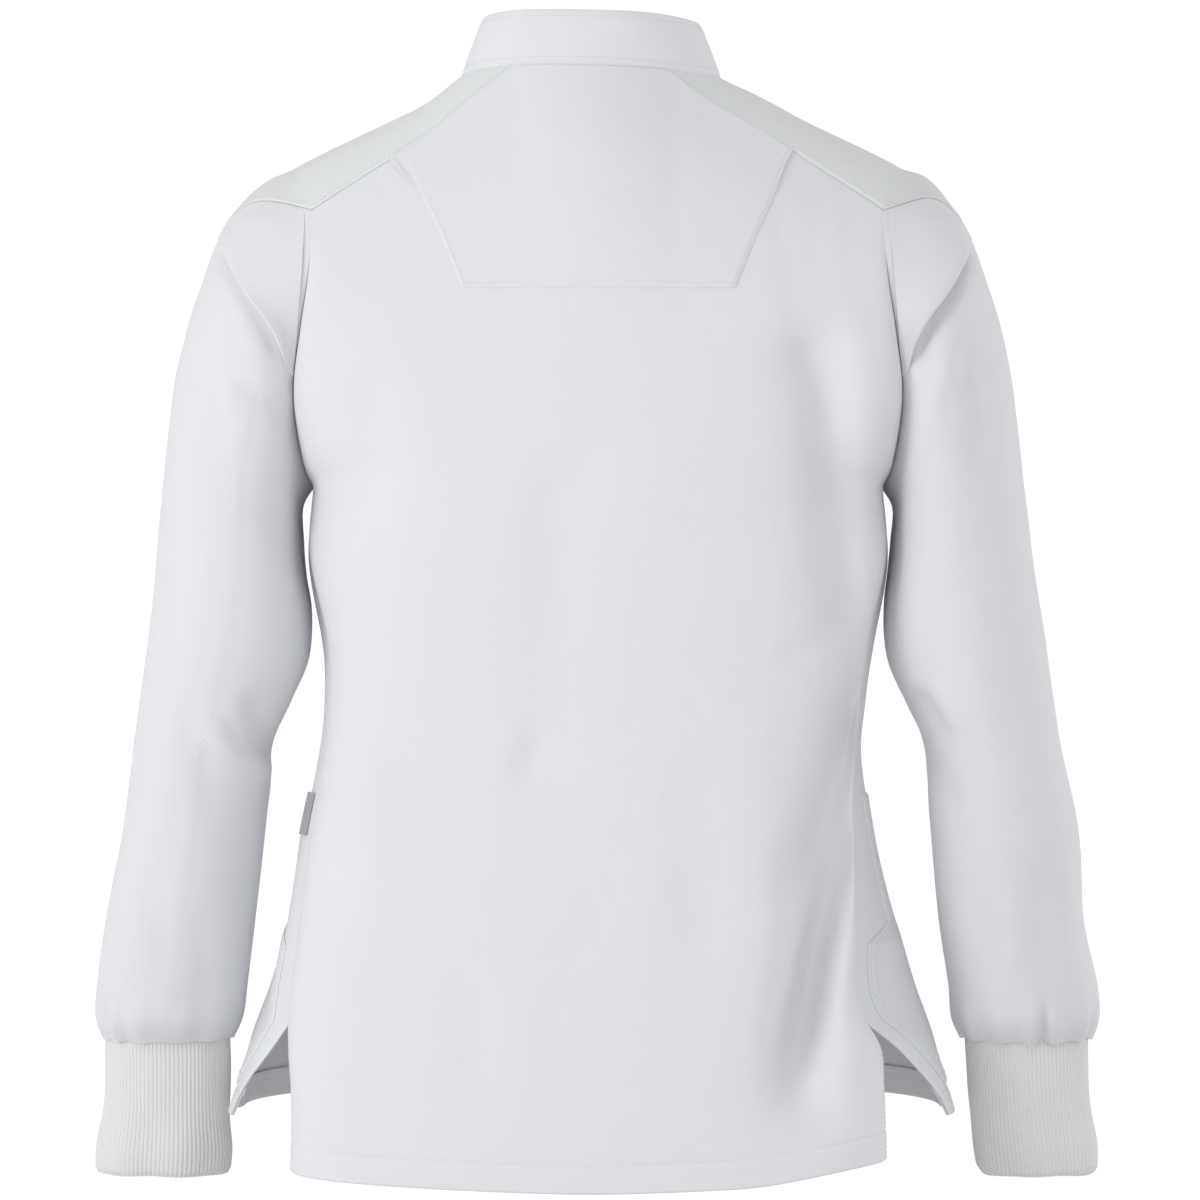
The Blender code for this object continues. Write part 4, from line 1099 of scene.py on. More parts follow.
def group(name, inputs, outputs):
    """An empty shader node group with its sockets, and its input and output nodes."""
    tree = bpy.data.node_groups.new(name, "ShaderNodeTree")
    for label, kind, value in inputs:
        socket = tree.interface.new_socket(label, in_out="INPUT", socket_type=kind)
        if value is not None:
            socket.default_value = value
    for label, kind in outputs:
        tree.interface.new_socket(label, in_out="OUTPUT", socket_type=kind)
    return tree, tree.nodes.new("NodeGroupInput").outputs, tree.nodes.new("NodeGroupOutput").inputs


def around_zero(tree, value, amount):
    """A value between 0 and 1, moved to lie around 0 and scaled by the amount."""
    return maths(tree, "MULTIPLY", maths(tree, "SUBTRACT", value, 0.5), amount)


def wave(tree, place, spacing, turn):
    """The sine of a place, which turns this far for each spacing."""
    return maths(tree, "SINE", maths(tree, "MULTIPLY", maths(tree, "DIVIDE", place, spacing), turn))


def noise(tree, place, scale, detail, distortion=0.0):
    """Noise at a place, between 0 and 1."""
    made = tree.nodes.new("ShaderNodeTexNoise")
    made.inputs["Scale"].default_value = scale
    made.inputs["Detail"].default_value = detail
    made.inputs["Distortion"].default_value = distortion
    tree.links.new(place, made.inputs["Vector"])
    return made.outputs["Fac"]


def twill_group():
    """Diagonal ribs of a fine twill, crossed by its threads, with the small unevenness of yarn."""
    tree, given, out = group(
        "Twill weave",
        (("Cloth", "NodeSocketVector", None), ("Rib spacing", "NodeSocketFloat", 0.0011),
         ("Thread spacing", "NodeSocketFloat", 0.0005), ("Unevenness", "NodeSocketFloat", 0.35)),
        (("Height", "NodeSocketFloat"), ("Tone", "NodeSocketFloat")),
    )
    steepness, rib_share, thread_share, contrast = 1.6, 0.32, 0.10, 0.05
    split = tree.nodes.new("ShaderNodeSeparateXYZ")
    tree.links.new(given["Cloth"], split.inputs[0])
    yarn = noise(tree, given["Cloth"], 900.0, 2.0)
    slant = maths(tree, "ADD", split.outputs["X"], maths(tree, "MULTIPLY", split.outputs["Y"], steepness))
    rib = wave(tree, slant, given["Rib spacing"], 2 * HALF_TURN)
    thread = wave(tree, split.outputs["Y"], given["Thread spacing"], 2 * HALF_TURN)
    ribs, threads = maths(tree, "MULTIPLY", rib, rib_share), maths(tree, "MULTIPLY", thread, thread_share)
    rough = around_zero(tree, yarn, given["Unevenness"])
    height = maths(tree, "ADD", maths(tree, "ADD", maths(tree, "ADD", ribs, threads), rough), 0.5)
    tone = maths(tree, "ADD", around_zero(tree, height, contrast), 1.0)
    links(tree, (height, out["Height"]), (tone, out["Tone"]))
    return tree


def knit_group():
    """Columns of small knitted loops: stitches along the fabric and wales across it."""
    tree, given, out = group(
        "Knitted loops",
        (("Cloth", "NodeSocketVector", None), ("Wale spacing", "NodeSocketFloat", 0.0016),
         ("Loop spacing", "NodeSocketFloat", 0.0013), ("Unevenness", "NodeSocketFloat", 0.3)),
        (("Height", "NodeSocketFloat"), ("Tone", "NodeSocketFloat")),
    )
    slope, middle, contrast = 0.6, 0.6, 0.09
    split = tree.nodes.new("ShaderNodeSeparateXYZ")
    tree.links.new(given["Cloth"], split.inputs[0])
    yarn = noise(tree, given["Cloth"], 1100.0, 2.0)
    wale = maths(tree, "ABSOLUTE", wave(tree, split.outputs["X"], given["Wale spacing"], HALF_TURN))
    lean = maths(tree, "MULTIPLY", wale, slope)
    loops = maths(tree, "DIVIDE", split.outputs["Y"], given["Loop spacing"])
    down = maths(tree, "MULTIPLY", loops, HALF_TURN)
    loop = maths(tree, "ABSOLUTE", maths(tree, "SINE", maths(tree, "ADD", down, lean)))
    both = maths(tree, "MULTIPLY", maths(tree, "POWER", wale, 0.6), maths(tree, "POWER", loop, 0.5))
    height = maths(tree, "ADD", both, around_zero(tree, yarn, given["Unevenness"]))
    tone = maths(tree, "MULTIPLY", maths(tree, "SUBTRACT", both, middle), contrast)
    links(tree, (height, out["Height"]), (maths(tree, "ADD", tone, 1.0), out["Tone"]))
    return tree


def handled_group():
    """Broad soft changes of tone and of surface, as in cloth that was pressed and then worn a little."""
    tree, given, out = group(
        "Pressed and worn",
        (("Place", "NodeSocketVector", None), ("Amount", "NodeSocketFloat", 0.02)),
        (("Tone", "NodeSocketFloat"), ("Crumple", "NodeSocketFloat")),
    )
    broad = noise(tree, given["Place"], 9.0, 3.0)
    small = noise(tree, given["Place"], 34.0, 2.0, 0.4)
    tone = maths(tree, "ADD", around_zero(tree, broad, given["Amount"]), 1.0)
    links(tree, (tone, out["Tone"]), (small, out["Crumple"]))
    return tree


def shared(name, maker):
    """A node group, made when it is first asked for."""
    return bpy.data.node_groups.get(name) or maker()


def worn_group(tree):
    """The changes of pressed and worn cloth, placed in a material by the piece's own coordinates."""
    place = tree.nodes.new("ShaderNodeTexCoord")
    worn = tree.nodes.new("ShaderNodeGroup")
    worn.node_tree = shared("Pressed and worn", handled_group)
    tree.links.new(place.outputs["Object"], worn.inputs["Place"])
    return worn


def toned(tree, colour_value, tone):
    """A colour made lighter or darker by a tone around 1."""
    scale = tree.nodes.new("ShaderNodeVectorMath")
    scale.operation = "SCALE"
    scale.inputs[0].default_value = colour_value
    tree.links.new(tone, scale.inputs["Scale"])
    return scale.outputs[0]


def bump(tree, height, distance, over=None):
    """The normal of a relief, over another relief's normal where one is given."""
    made = tree.nodes.new("ShaderNodeBump")
    made.inputs["Distance"].default_value = distance
    tree.links.new(height, made.inputs["Height"])
    if over is not None:
        tree.links.new(over, made.inputs["Normal"])
    return made.outputs[0]


def cloth_material(name, colour_value, weave, sizes, relief, rough, crumple):
    """A cloth: its colour varied by weave and wear, and bumps of the weave over those of soft crumples."""
    made = bpy.data.materials.new(name)
    made.use_nodes = True
    tree = made.node_tree
    shader = tree.nodes["Principled BSDF"]
    shader.inputs["Roughness"].default_value = rough
    shader.inputs["Metallic"].default_value = 0.0
    shader.inputs["Specular IOR Level"].default_value = 0.25
    shader.inputs["Sheen Weight"].default_value = 0.12
    shader.inputs["Sheen Roughness"].default_value = 0.5
    flat = tree.nodes.new("ShaderNodeUVMap")
    flat.uv_map = "cloth"
    woven = tree.nodes.new("ShaderNodeGroup")
    woven.node_tree = shared(*weave)
    tree.links.new(flat.outputs[0], woven.inputs["Cloth"])
    for label, value in sizes.items():
        woven.inputs[label].default_value = value
    worn = worn_group(tree)
    tone = maths(tree, "MULTIPLY", woven.outputs["Tone"], worn.outputs["Tone"])
    soft = bump(tree, worn.outputs["Crumple"], crumple)
    fine = bump(tree, woven.outputs["Height"], relief, soft)
    base = toned(tree, colour_value, tone)
    links(tree, (base, shader.inputs["Base Color"]), (fine, shader.inputs["Normal"]))
    return made


def hard_material(name, colour_value, rough):
    """Enamel or thread: one colour with slight unevenness of its gloss."""
    made = bpy.data.materials.new(name)
    made.use_nodes = True
    tree = made.node_tree
    shader = tree.nodes["Principled BSDF"]
    shader.inputs["Metallic"].default_value = 0.0
    worn = worn_group(tree)
    worn.inputs["Amount"].default_value = 0.06
    base = toned(tree, colour_value, worn.outputs["Tone"])
    gloss = maths(tree, "MULTIPLY", worn.outputs["Tone"], rough)
    links(tree, (base, shader.inputs["Base Color"]), (gloss, shader.inputs["Roughness"]))
    return made


TWILL, KNIT = ("Twill weave", twill_group), ("Knitted loops", knit_group)
# For each cloth its colour, its weave and the weave's sizes, the depth of the weave, the roughness, and the
# height of its soft crumples
CLOTHS = {
    "white twill": ("twill", TWILL, {"Rib spacing": 0.0011, "Thread spacing": 0.0006}, 0.00006, 0.82, 0.0012),
    "mesh knit": ("mesh", KNIT, {"Wale spacing": 0.0017, "Loop spacing": 0.0015}, 0.00016, 0.88, 0.0012),
    "rib knit": ("rib", KNIT, {"Wale spacing": 0.0013, "Loop spacing": 0.0011}, 0.00015, 0.92, 0.0004),
    "grey tape": ("tag", TWILL, {"Rib spacing": 0.0009, "Thread spacing": 0.0005}, 0.00015, 0.70, 0.0002),
}
# For each hard finish its colour and its roughness
HARD = {"sewing thread": ("thread", 0.55), "stud enamel": ("stud", 0.28)}


def finish_of(name):
    """One of the jacket's materials, made when it is first asked for."""
    found = bpy.data.materials.get(name)
    if found:
        return found
    chosen, *rest = CLOTHS[name] if name in CLOTHS else HARD[name]
    maker = cloth_material if name in CLOTHS else hard_material
    return maker(name, getattr(bpy.context.scene.jacket_colours, chosen), *rest)


# ---------------------------------------------------------------- what repeats: stitches and ribs


def geometry_tree(name, inputs):
    """An empty Geometry Nodes tree with its sockets, and its input and output nodes."""
    tree = bpy.data.node_groups.new(name, "GeometryNodeTree")
    tree.interface.new_socket("Geometry", in_out="INPUT", socket_type="NodeSocketGeometry")
    for label, kind in inputs:
        tree.interface.new_socket(label, in_out="INPUT", socket_type=kind)
    tree.interface.new_socket("Geometry", in_out="OUTPUT", socket_type="NodeSocketGeometry")
    return tree, tree.nodes.new("NodeGroupInput").outputs, tree.nodes.new("NodeGroupOutput").inputs


def stitching_tree():
    """Stitches at a pitch along each line, lying on the cloth that its "facing" points away from."""
    tree, given, out = geometry_tree(
        "Stitching",
        (("Pitch", "NodeSocketFloat"), ("Length", "NodeSocketFloat"), ("Thread", "NodeSocketFloat"),
         ("Material", "NodeSocketMaterial")),
    )
    add = tree.nodes.new
    line = add("GeometryNodeMeshToCurve")
    even = add("GeometryNodeResampleCurve")
    even.mode = "LENGTH"
    tangent = add("GeometryNodeInputTangent")
    facing = add("GeometryNodeInputNamedAttribute")
    facing.data_type = "FLOAT_VECTOR"
    facing.inputs["Name"].default_value = "facing"
    ahead = add("FunctionNodeAlignRotationToVector")
    ahead.axis = "X"
    upright = add("FunctionNodeAlignRotationToVector")
    upright.axis, upright.pivot_axis = "Z", "X"
    bead = add("GeometryNodeMeshIcoSphere")
    bead.inputs["Radius"].default_value = 0.5
    bead.inputs["Subdivisions"].default_value = 1
    size = add("ShaderNodeCombineXYZ")
    shape = add("GeometryNodeTransform")
    on = add("GeometryNodeInstanceOnPoints")
    real = add("GeometryNodeRealizeInstances")
    soft = add("GeometryNodeSetShadeSmooth")
    finish = add("GeometryNodeSetMaterial")
    links(
        tree,
        (given["Geometry"], line.inputs["Mesh"]),
        (line.outputs[0], even.inputs["Curve"]),
        (given["Pitch"], even.inputs["Length"]),
        (even.outputs[0], on.inputs["Points"]),
        (tangent.outputs[0], ahead.inputs["Vector"]),
        (ahead.outputs[0], upright.inputs["Rotation"]),
        (facing.outputs["Attribute"], upright.inputs["Vector"]),
        (upright.outputs[0], on.inputs["Rotation"]),
        (given["Length"], size.inputs[0]),
        (given["Thread"], size.inputs[1]),
        (given["Thread"], size.inputs[2]),
        (bead.outputs["Mesh"], shape.inputs["Geometry"]),
        (size.outputs[0], shape.inputs["Scale"]),
        (shape.outputs[0], on.inputs["Instance"]),
        (on.outputs[0], real.inputs[0]),
        (real.outputs[0], soft.inputs["Geometry"]),
        (soft.outputs[0], finish.inputs["Geometry"]),
        (given["Material"], finish.inputs["Material"]),
        (finish.outputs[0], out["Geometry"]),
    )
    return tree


def rib_tree():
    """Ribs round a cuff: the cloth moves out along its normals by how far round its "around" says it is."""
    tree, given, out = geometry_tree(
        "Rib knit",
        (("Ribs", "NodeSocketInt"), ("Depth", "NodeSocketFloat"), ("Material", "NodeSocketMaterial")),
    )
    add = tree.nodes.new
    sharpness, middle = 0.7, 0.6  # of a rib's rounded profile, which runs from 0 to 1
    around = add("GeometryNodeInputNamedAttribute")
    around.data_type = "FLOAT"
    around.inputs["Name"].default_value = "around"
    normal = add("GeometryNodeInputNormal")
    scale = add("ShaderNodeVectorMath")
    scale.operation = "SCALE"
    move = add("GeometryNodeSetPosition")
    real = add("GeometryNodeRealizeInstances")
    finish = add("GeometryNodeSetMaterial")
    ribs = maths(tree, "MULTIPLY", around.outputs["Attribute"], given["Ribs"])
    turn = maths(tree, "MULTIPLY", ribs, HALF_TURN)
    round_rib = maths(tree, "ABSOLUTE", maths(tree, "SINE", turn))
    rib = maths(tree, "SUBTRACT", maths(tree, "POWER", round_rib, sharpness), middle)
    links(
        tree,
        (given["Geometry"], move.inputs["Geometry"]),
        (normal.outputs[0], scale.inputs[0]),
        (maths(tree, "MULTIPLY", rib, given["Depth"]), scale.inputs["Scale"]),
        (scale.outputs[0], move.inputs["Offset"]),
        (move.outputs[0], real.inputs[0]),
        (real.outputs[0], finish.inputs["Geometry"]),
        (given["Material"], finish.inputs["Material"]),
        (finish.outputs[0], out["Geometry"]),
    )
    return tree


def grown(made, tree, **values):
    """A Geometry Nodes modifier with its named inputs set."""
    modifier = made.modifiers.new(tree.name, "NODES")
    modifier.node_group = tree
    for socket in tree.interface.items_tree:
        if socket.item_type == "SOCKET" and socket.in_out == "INPUT" and socket.name in values:
            modifier[socket.identifier] = values[socket.name]
    return modifier


def inset_line(cloth, side, inset, trim=(0.0, 1.0), lift=0.00025):
    """A line along one side of a piece, this far in from its edge: points on the cloth, and their normals."""
    grid, facing = cloth["grid"], cloth["facing"]
    if side in ("first_row", "last_row"):
        grid, facing = np.swapaxes(grid, 0, 1), np.swapaxes(facing, 0, 1)
    if side.startswith("last"):
        grid, facing = grid[:, ::-1], facing[:, ::-1]
    steps = np.linalg.norm(np.diff(grid, axis=1), axis=-1)
    reached = np.concatenate((np.zeros((len(grid), 1)), np.cumsum(steps, axis=1)), axis=1)
    at = np.array([np.interp(inset, line, np.arange(len(line))) for line in reached])
    low = np.clip(at.astype(int), 0, grid.shape[1] - 2)
    share = (at - low)[:, None]
    pick = np.arange(len(grid))
    points = grid[pick, low] * (1 - share) + grid[pick, low + 1] * share
    out = facing[pick, low] * (1 - share) + facing[pick, low + 1] * share
    out /= np.linalg.norm(out, axis=-1, keepdims=True)
    first, last = (int(round(end * (len(points) - 1))) for end in trim)
    return (points + out * lift)[first : last + 1], out[first : last + 1]


# ---------------------------------------------------------------- sizes and colours that a user may change


class JacketSizes(bpy.types.PropertyGroup):
    """Sizes of the jacket's trims."""

    stitch_pitch: bpy.props.FloatProperty(
        name="Stitch pitch", description="From one stitch to the next", default=0.0031, unit="LENGTH"
    )
    stitch_length: bpy.props.FloatProperty(
        name="Stitch length", description="Thread that shows in one stitch", default=0.0024, unit="LENGTH"
    )
    thread: bpy.props.FloatProperty(
        name="Thread", description="Thickness of the sewing thread",
        default=0.00045, unit="LENGTH", precision=5,
    )
    ribs: bpy.props.IntProperty(name="Ribs", description="Ribs round each cuff", default=92, min=20)
    rib_depth: bpy.props.FloatProperty(
        name="Rib depth", description="Depth of the cuffs' ribs", default=0.0007, unit="LENGTH", precision=5
    )
    cloth: bpy.props.FloatProperty(
        name="Cloth", description="Thickness of the woven cloth",
        default=CLOTH_WALL, unit="LENGTH", precision=5,
    )


def colour(name, description, value):
    """A colour that a user may change."""
    return bpy.props.FloatVectorProperty(
        name=name, description=description, subtype="COLOR", size=3, min=0.0, max=1.0, default=value
    )


class JacketColours(bpy.types.PropertyGroup):
    """Colours of the jacket's materials."""

    twill: colour("Twill", "White of the woven panels", (0.780, 0.790, 0.815))
    mesh: colour("Mesh knit", "White of the saddles", (0.800, 0.818, 0.822))
    rib: colour("Rib knit", "Off-white of the cuffs", (0.800, 0.800, 0.790))
    thread: colour("Thread", "Sewing thread", (0.800, 0.805, 0.820))
    stud: colour("Studs", "Enamelled caps of the press studs", (0.80, 0.80, 0.80))
    tag: colour("Tape", "Grey tape in the side seam", (0.40, 0.41, 0.43))


# ---------------------------------------------------------------- operators


def panel_piece(name, grid, material, nodes, mirrored=False, wall=None, welded=False):
    """A piece of cloth made from its grid, with its thickness."""
    wall = bpy.context.scene.jacket_sizes.cloth if wall is None else wall
    made = surface(name, grid, finish_of(material), mirrored, welded)
    plain(walled(made, wall))
    return give(made, nodes)


class MakeBack(bpy.types.Operator):
    """Make the back with its turned-up hem, and the yoke that lies on it"""

    bl_idname = "jacket.make_back"
    bl_label = "Back and yoke"

    def execute(self, context):
        back = back_cloth()
        panel_piece("back", turned_hem(back["grid"], back["facing"]), "white twill", ["back_panel"])
        yoke = yoke_cloth()
        panel_piece("yoke", yoke, "white twill", ["back_yoke"])
        MAKING["yoke"] = {"grid": yoke, "facing": normals(yoke)}
        return {"FINISHED"}


class MakeFronts(bpy.types.Operator):
    """Make both fronts with their turned-up hems"""

    bl_idname = "jacket.make_fronts"
    bl_label = "Fronts"

    def execute(self, context):
        for side in ("left", "right"):
            front = front_cloth(side)
            grid = turned_hem(front["grid"], front["facing"])
            mirrored = side == "right"
            panel_piece(f"front_cloth_{side}", grid, "white twill", [f"front_{side}"], mirrored)
        return {"FINISHED"}


class MakeShoulders(bpy.types.Operator):
    """Make the mesh-knit saddles over the shoulders"""

    bl_idname = "jacket.make_shoulders"
    bl_label = "Saddles"

    def execute(self, context):
        for side in ("left", "right"):
            panel_piece(
                f"saddle_cloth_{side}", saddle_cloth(side)["grid"], "mesh knit",
                [f"saddle_{side}"], mirrored=side == "right", wall=DOUBLE_WALL, welded=True,
            )
        return {"FINISHED"}


class MakeSleeves(bpy.types.Operator):
    """Make the sleeves and the pleat behind each of them"""

    bl_idname = "jacket.make_sleeves"
    bl_label = "Sleeves and pleats"

    def execute(self, context):
        for side in ("left", "right"):
            mirrored = side == "right"
            panel_piece(
                f"sleeve_cloth_{side}", sleeve_cloth(side)["grid"], "white twill",
                [f"sleeve_{side}"], mirrored, welded=True,
            )
            panel_piece(
                f"pleat_cloth_{side}", pleat_cloth(side), "white twill",
                [f"sleeve_pleat_{side}"], mirrored, wall=DOUBLE_WALL,
            )
        return {"FINISHED"}


class MakeCollar(bpy.types.Operator):
    """Make the stand collar"""

    bl_idname = "jacket.make_collar"
    bl_label = "Collar"

    def execute(self, context):
        grid = collar_cloth()["grid"]
        panel_piece("stand_collar", grid, "white twill", ["collar"], wall=COLLAR_WALL)
        return {"FINISHED"}


class MakeCuffs(bpy.types.Operator):
    """Make the rib-knit cuffs, with their ribs as relief"""

    bl_idname = "jacket.make_cuffs"
    bl_label = "Cuffs"

    def execute(self, context):
        sizes = context.scene.jacket_sizes
        tree = rib_tree()
        for side in ("left", "right"):
            grid, around = cuff_rings(side, sizes.ribs * POINTS_ON_RIB + 1)
            made = surface(f"rib_cuff_{side}", grid, finish_of("rib knit"), side == "right")
            shares = made.data.attributes.new("around", "FLOAT", "POINT")
            shares.data.foreach_set("value", np.tile(around, grid.shape[0]).astype(np.float32))
            weld(made.data)
            grown(made, tree, Ribs=sizes.ribs, Depth=sizes.rib_depth, Material=finish_of("rib knit"))
            plain(walled(made, CUFF_WALL), sharp=75)
            give(made, [f"cuff_{side}"])
        return {"FINISHED"}


class MakePockets(bpy.types.Operator):
    """Make the patch pockets and the bare tape in the side seam"""

    bl_idname = "jacket.make_pockets"
    bl_label = "Pockets and tape"

    def execute(self, context):
        for side in ("left", "right"):
            grid = pocket_cloth(side)
            mirrored = side == "right"
            panel_piece(f"patch_pocket_{side}", grid, "white twill", [f"pocket_{side}"], mirrored)
            MAKING[f"pocket_{side}"] = {"grid": grid, "facing": normals(grid, mirrored)}
        panel_piece("seam_tape", tag_cloth(), "grey tape", ["side_tag"], wall=TAPE_WALL)
        return {"FINISHED"}


STUD_SIDES = 40
STUD_GAP = 0.0003  # between a cap and the front
STUD_PROFILE = table(
    "radius height",
    (0.0, 0.0020),
    (0.0030, 0.00195),
    (0.0042, 0.00180),
    (0.0046, 0.00150),
    (0.0050, 0.00175),
    (0.0056, 0.00165),
    (0.0062, 0.00120),
    (0.0065, 0.00060),
    (0.0064, 0.0),
    (0.0, 0.0),
)


def stud_cap(name, place, facing):
    """A turned cap at a place on the front, facing out of it."""
    turns = np.radians(np.arange(0, 360, 360 / STUD_SIDES))
    work = bmesh.new()
    rings = []
    for radius, height in zip(STUD_PROFILE["radius"], STUD_PROFILE["height"]):
        if radius == 0.0:
            rings.append([work.verts.new((0.0, 0.0, height))])
        else:
            rings.append([work.verts.new((radius * np.cos(a), radius * np.sin(a), height)) for a in turns])
    for upper, lower in zip(rings[:-1], rings[1:]):
        for at in range(STUD_SIDES):
            corners = [upper[at % len(upper)], lower[at % len(lower)],
                       lower[(at + 1) % len(lower)], upper[(at + 1) % len(upper)]]
            work.faces.new(list(dict.fromkeys(corners)))
    work.transform(Matrix.Translation(place) @ facing.to_track_quat("Z", "Y").to_matrix().to_4x4())
    bmesh.ops.recalc_face_normals(work, faces=work.faces)
    mesh = bpy.data.meshes.new(name)
    work.to_mesh(mesh)
    work.free()
    mesh.materials.append(finish_of("stud enamel"))
    mesh.shade_smooth()
    made = bpy.data.objects.new(name, mesh)
    bpy.context.scene.collection.objects.link(made)
    return made


class MakeStuds(bpy.types.Operator):
    """Make the caps of the press studs down the front"""

    bl_idname = "jacket.make_studs"
    bl_label = "Press studs"

    def execute(self, context):
        front = front_cloth("right")
        for name in sorted(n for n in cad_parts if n.startswith("press_stud")):
            seat = np.mean(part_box(name), axis=0)
            away = np.linalg.norm(front["grid"] - seat, axis=-1)
            nearest = np.unravel_index(np.argmin(away), away.shape)
            facing = Vector(front["facing"][nearest])
            base = Vector(seat) + facing * (Vector(front["grid"][nearest]) - Vector(seat)).dot(facing)
            give(stud_cap(f"stud_cap_{name[-1]}", base + facing * STUD_GAP, facing), [name])
        return {"FINISHED"}


def stitch_lines():
    """Every line of topstitching: its points and their normals."""
    back, collar, yoke = back_cloth(), MAKING["collar"], MAKING["yoke"]
    slit = (SLIT_TOP_Z - BACK_HEM_Z) / UP_LENGTH["back"]
    lines = [
        inset_line(back, "first_row", HEM_WIDTH),
        inset_line(back, "first_column", SLIT_STITCH, (0.0, slit)),
        inset_line(back, "last_column", SLIT_STITCH, (0.0, slit)),
        inset_line(yoke, "first_row", YOKE_STITCH),
        inset_line(yoke, "first_column", YOKE_STITCH, (0.0, 0.98)),
        inset_line(yoke, "last_column", YOKE_STITCH, (0.0, 0.98)),
    ]
    lines += [inset_line(collar, edge, inset) for edge, inset in COLLAR_STITCHES.items()]
    for side in ("left", "right"):
        front, saddle, pocket = front_cloth(side), saddle_cloth(side), MAKING[f"pocket_{side}"]
        slit = (SLIT_TOP_Z - FRONT_HEM_Z) / UP_LENGTH["front"] * FRONT_SLIT_REACH
        lines += [
            inset_line(front, "first_row", HEM_WIDTH),
            inset_line(front, "first_column", FRONT_EDGE_STITCH),
            inset_line(front, "last_column", SLIT_STITCH, (0.0, slit)),
            inset_line(saddle, "first_column", SADDLE_STITCH, (0.0, 0.93)),
            inset_line(saddle, "last_column", SADDLE_STITCH, (0.0, 0.93)),
        ]
        for inset in POCKET_STITCHES:
            lines += [
                inset_line(pocket, "first_row", inset),
                inset_line(pocket, "first_column", inset),
                inset_line(pocket, "last_column", inset, (0.0, 0.45)),
                inset_line(pocket, "last_column", inset, (0.62, 1.0)),
            ]
        lines.append(inset_line(pocket, "last_row", POCKET_STITCHES[0]))
    return lines


class MakeStitching(bpy.types.Operator):
    """Sew the lines of topstitching, as separate stitches"""

    bl_idname = "jacket.make_stitching"
    bl_label = "Topstitching"

    def execute(self, context):
        sizes = context.scene.jacket_sizes
        points, out, edges = [], [], []
        for line, facing in stitch_lines():
            first = len(points)
            points += line.tolist()
            out += facing.tolist()
            edges += [(first + at, first + at + 1) for at in range(len(line) - 1)]
        mesh = bpy.data.meshes.new("topstitching")
        mesh.from_pydata(points, edges, [])
        facings = mesh.attributes.new("facing", "FLOAT_VECTOR", "POINT")
        facings.data.foreach_set("vector", np.array(out).ravel())
        made = bpy.data.objects.new("topstitching", mesh)
        context.scene.collection.objects.link(made)
        grown(
            made, stitching_tree(), Pitch=sizes.stitch_pitch, Length=sizes.stitch_length,
            Thread=sizes.thread, Material=finish_of("sewing thread"),
        )
        plain(made)
        give(made, [])
        return {"FINISHED"}


# ---------------------------------------------------------------- stage

CAMERA_PLACE = (-0.0013, 2.52, -0.345)
CAMERA_SPREAD = 0.1575  # half the view's width at 1 m
SENSOR_WIDTH = 36.0
FLOOR_Z = -0.80
SWEEP_HALF_WIDTH = 4.5
SWEEP_NEAR_Y = 3.2
SWEEP_BEND_Y = -2.4  # where the floor starts to curve up
SWEEP_BEND = 0.9  # radius of its curve
SWEEP_TOP_Z = 2.6
# Soft round lights: name, place, aim, width in metres and watts
LIGHTS = (
    ("key", (2.2, 1.9, 0.0), (0.0, 0.0, -0.40), 1.2, 21.0),
    ("left side", (2.0, -0.4, -0.55), (0.0, 0.0, -0.50), 1.2, 3.0),
    ("right side", (-2.0, -0.4, -0.55), (0.0, 0.0, -0.50), 1.2, 8.0),
    ("low back", (0.0, 2.2, -0.70), (0.0, 0.0, -0.62), 1.2, 6.0),
)
WORLD_STRENGTH = 0.71


def white_paper():
    """The sweep shows pure white, and lights the jacket from below as paper does."""
    made = bpy.data.materials.new("white paper")
    made.use_nodes = True
    tree = made.node_tree
    shader = tree.nodes["Principled BSDF"]
    shader.inputs["Base Color"].default_value = (0.86, 0.86, 0.86, 1.0)
    shader.inputs["Roughness"].default_value = 0.9
    glow = tree.nodes.new("ShaderNodeEmission")
    glow.inputs["Strength"].default_value = 1.05
    mix = tree.nodes.new("ShaderNodeMixShader")
    seen = tree.nodes.new("ShaderNodeLightPath")
    links(tree, (seen.outputs["Is Camera Ray"], mix.inputs[0]), (shader.outputs[0], mix.inputs[1]),
          (glow.outputs[0], mix.inputs[2]), (mix.outputs[0], tree.nodes["Material Output"].inputs["Surface"]))
    return made


def white_sweep():
    """The floor, which curves up into a wall on the far side."""
    turns = np.radians(np.linspace(0, 90, 16))
    back = SWEEP_BEND_Y - SWEEP_BEND * np.sin(turns)
    up = FLOOR_Z + SWEEP_BEND * (1 - np.cos(turns))
    bend = list(zip(back, up))
    profile = [(SWEEP_NEAR_Y, FLOOR_Z)] + bend + [(SWEEP_BEND_Y - SWEEP_BEND, SWEEP_TOP_Z)]
    points = [(side * SWEEP_HALF_WIDTH, y, z) for y, z in profile for side in (-1, 1)]
    faces = [(2 * n, 2 * n + 1, 2 * n + 3, 2 * n + 2) for n in range(len(profile) - 1)]
    mesh = bpy.data.meshes.new("sweep")
    mesh.from_pydata(points, [], faces)
    mesh.materials.append(white_paper())
    mesh.shade_smooth()
    made = bpy.data.objects.new("sweep", mesh)
    bpy.context.scene.collection.objects.link(made)


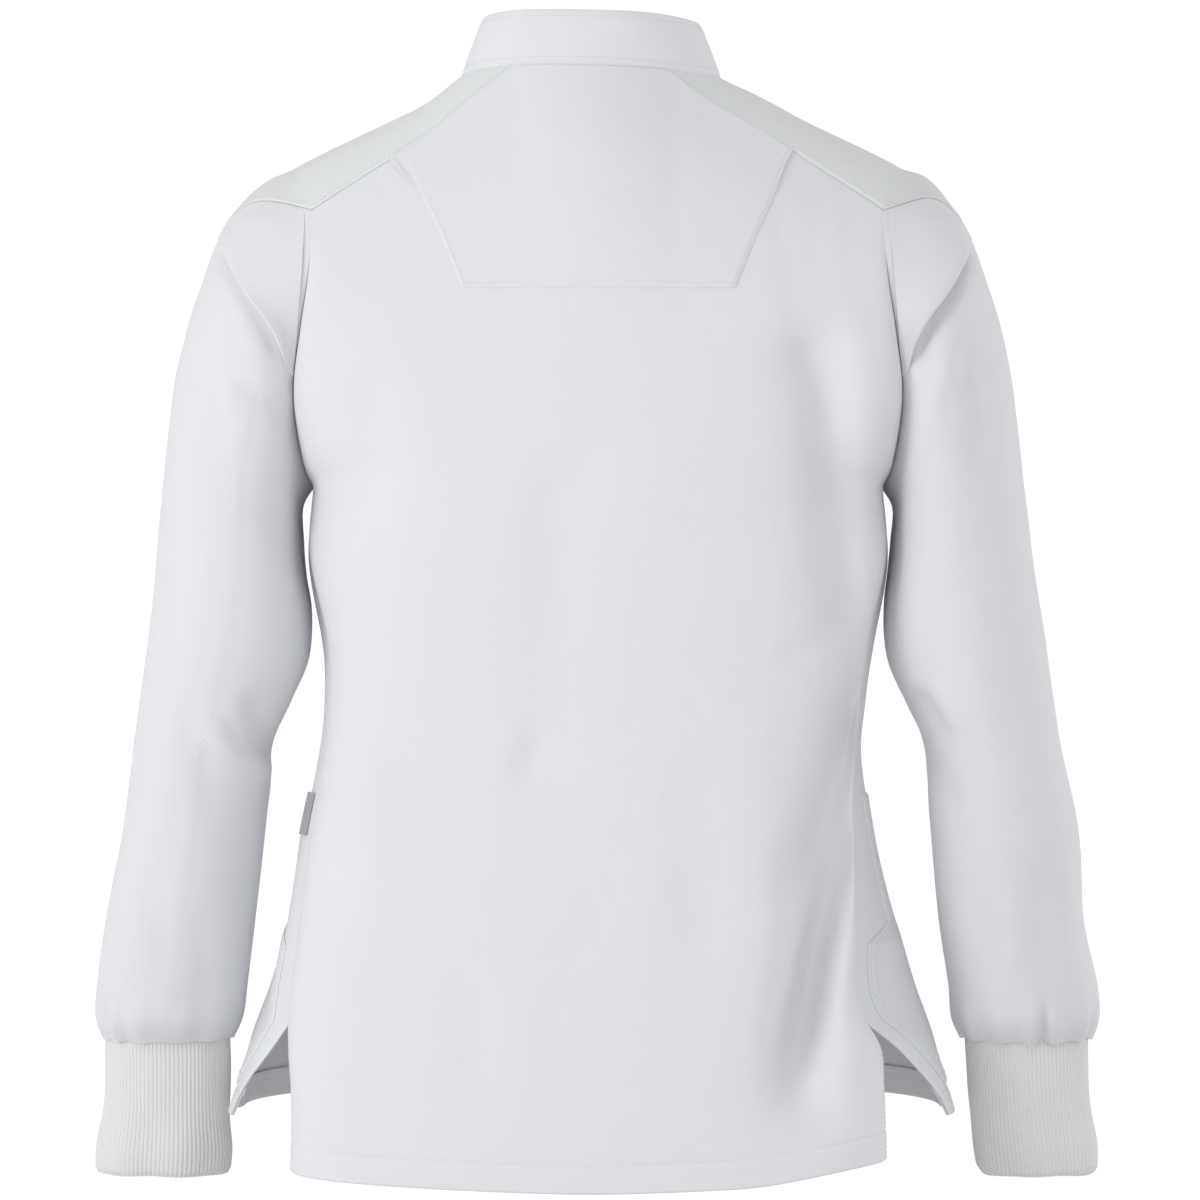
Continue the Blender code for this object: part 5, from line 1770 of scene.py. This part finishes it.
class MakeStage(bpy.types.Operator):
    """Set the camera, the soft studio light and the white floor and backdrop"""

    bl_idname = "jacket.make_stage"
    bl_label = "Stage"

    def execute(self, context):
        scene = context.scene
        scene.view_settings.view_transform = "Standard"
        scene.view_settings.look = "None"
        data = bpy.data.cameras.new("camera")
        data.sensor_width = SENSOR_WIDTH
        data.lens = SENSOR_WIDTH / (2 * CAMERA_SPREAD)
        camera = bpy.data.objects.new("camera", data)
        scene.collection.objects.link(camera)
        camera.location = CAMERA_PLACE
        camera.rotation_euler = Vector((0.0, -1.0, 0.0)).to_track_quat("-Z", "Y").to_euler()
        scene.camera = camera
        for name, place, aim, size, watts in LIGHTS:
            light = bpy.data.lights.new(name, "AREA")
            light.shape = "DISK"
            light.size, light.energy = size, watts
            lamp = bpy.data.objects.new(name, light)
            scene.collection.objects.link(lamp)
            lamp.location = place
            lamp.rotation_euler = (Vector(aim) - Vector(place)).to_track_quat("-Z", "Y").to_euler()
        world = bpy.data.worlds.new("studio")
        scene.world = world
        world.use_nodes = True
        background = world.node_tree.nodes["Background"]
        background.inputs["Color"].default_value = (1.0, 1.0, 1.0, 1.0)
        background.inputs["Strength"].default_value = WORLD_STRENGTH
        white_sweep()
        return {"FINISHED"}


class JacketPanel(bpy.types.Panel):
    """The jacket's pieces, sizes and colours"""

    bl_idname = "VIEW3D_PT_work_jacket"
    bl_label = "Work Jacket"
    bl_space_type = "VIEW_3D"
    bl_region_type = "UI"
    bl_category = "Jacket"

    def draw(self, context):
        layout = self.layout
        for group_name in ("jacket_sizes", "jacket_colours"):
            owner = getattr(context.scene, group_name)
            for name in owner.__annotations__:
                layout.prop(owner, name)
        for operator in OPERATORS:
            layout.operator(operator.bl_idname)


OPERATORS = (
    MakeBack, MakeFronts, MakeShoulders, MakeSleeves, MakeCollar, MakeCuffs, MakePockets, MakeStuds,
    MakeStitching, MakeStage,
)
CLASSES = (JacketSizes, JacketColours, *OPERATORS, JacketPanel)


def register():
    """Make the classes known, and give the scene its sizes and colours."""
    for one in CLASSES:
        bpy.utils.register_class(one)
    bpy.types.Scene.jacket_sizes = bpy.props.PointerProperty(type=JacketSizes)
    bpy.types.Scene.jacket_colours = bpy.props.PointerProperty(type=JacketColours)


def unregister():
    """Take the scene's sizes and colours and the classes away again."""
    del bpy.types.Scene.jacket_sizes, bpy.types.Scene.jacket_colours
    for one in reversed(CLASSES):
        bpy.utils.unregister_class(one)


def main():
    """Make every piece and the stage."""
    register()
    for operator in OPERATORS:
        group_name, name = operator.bl_idname.split(".")
        getattr(getattr(bpy.ops, group_name), name)()


if __name__ == "__main__":
    main()
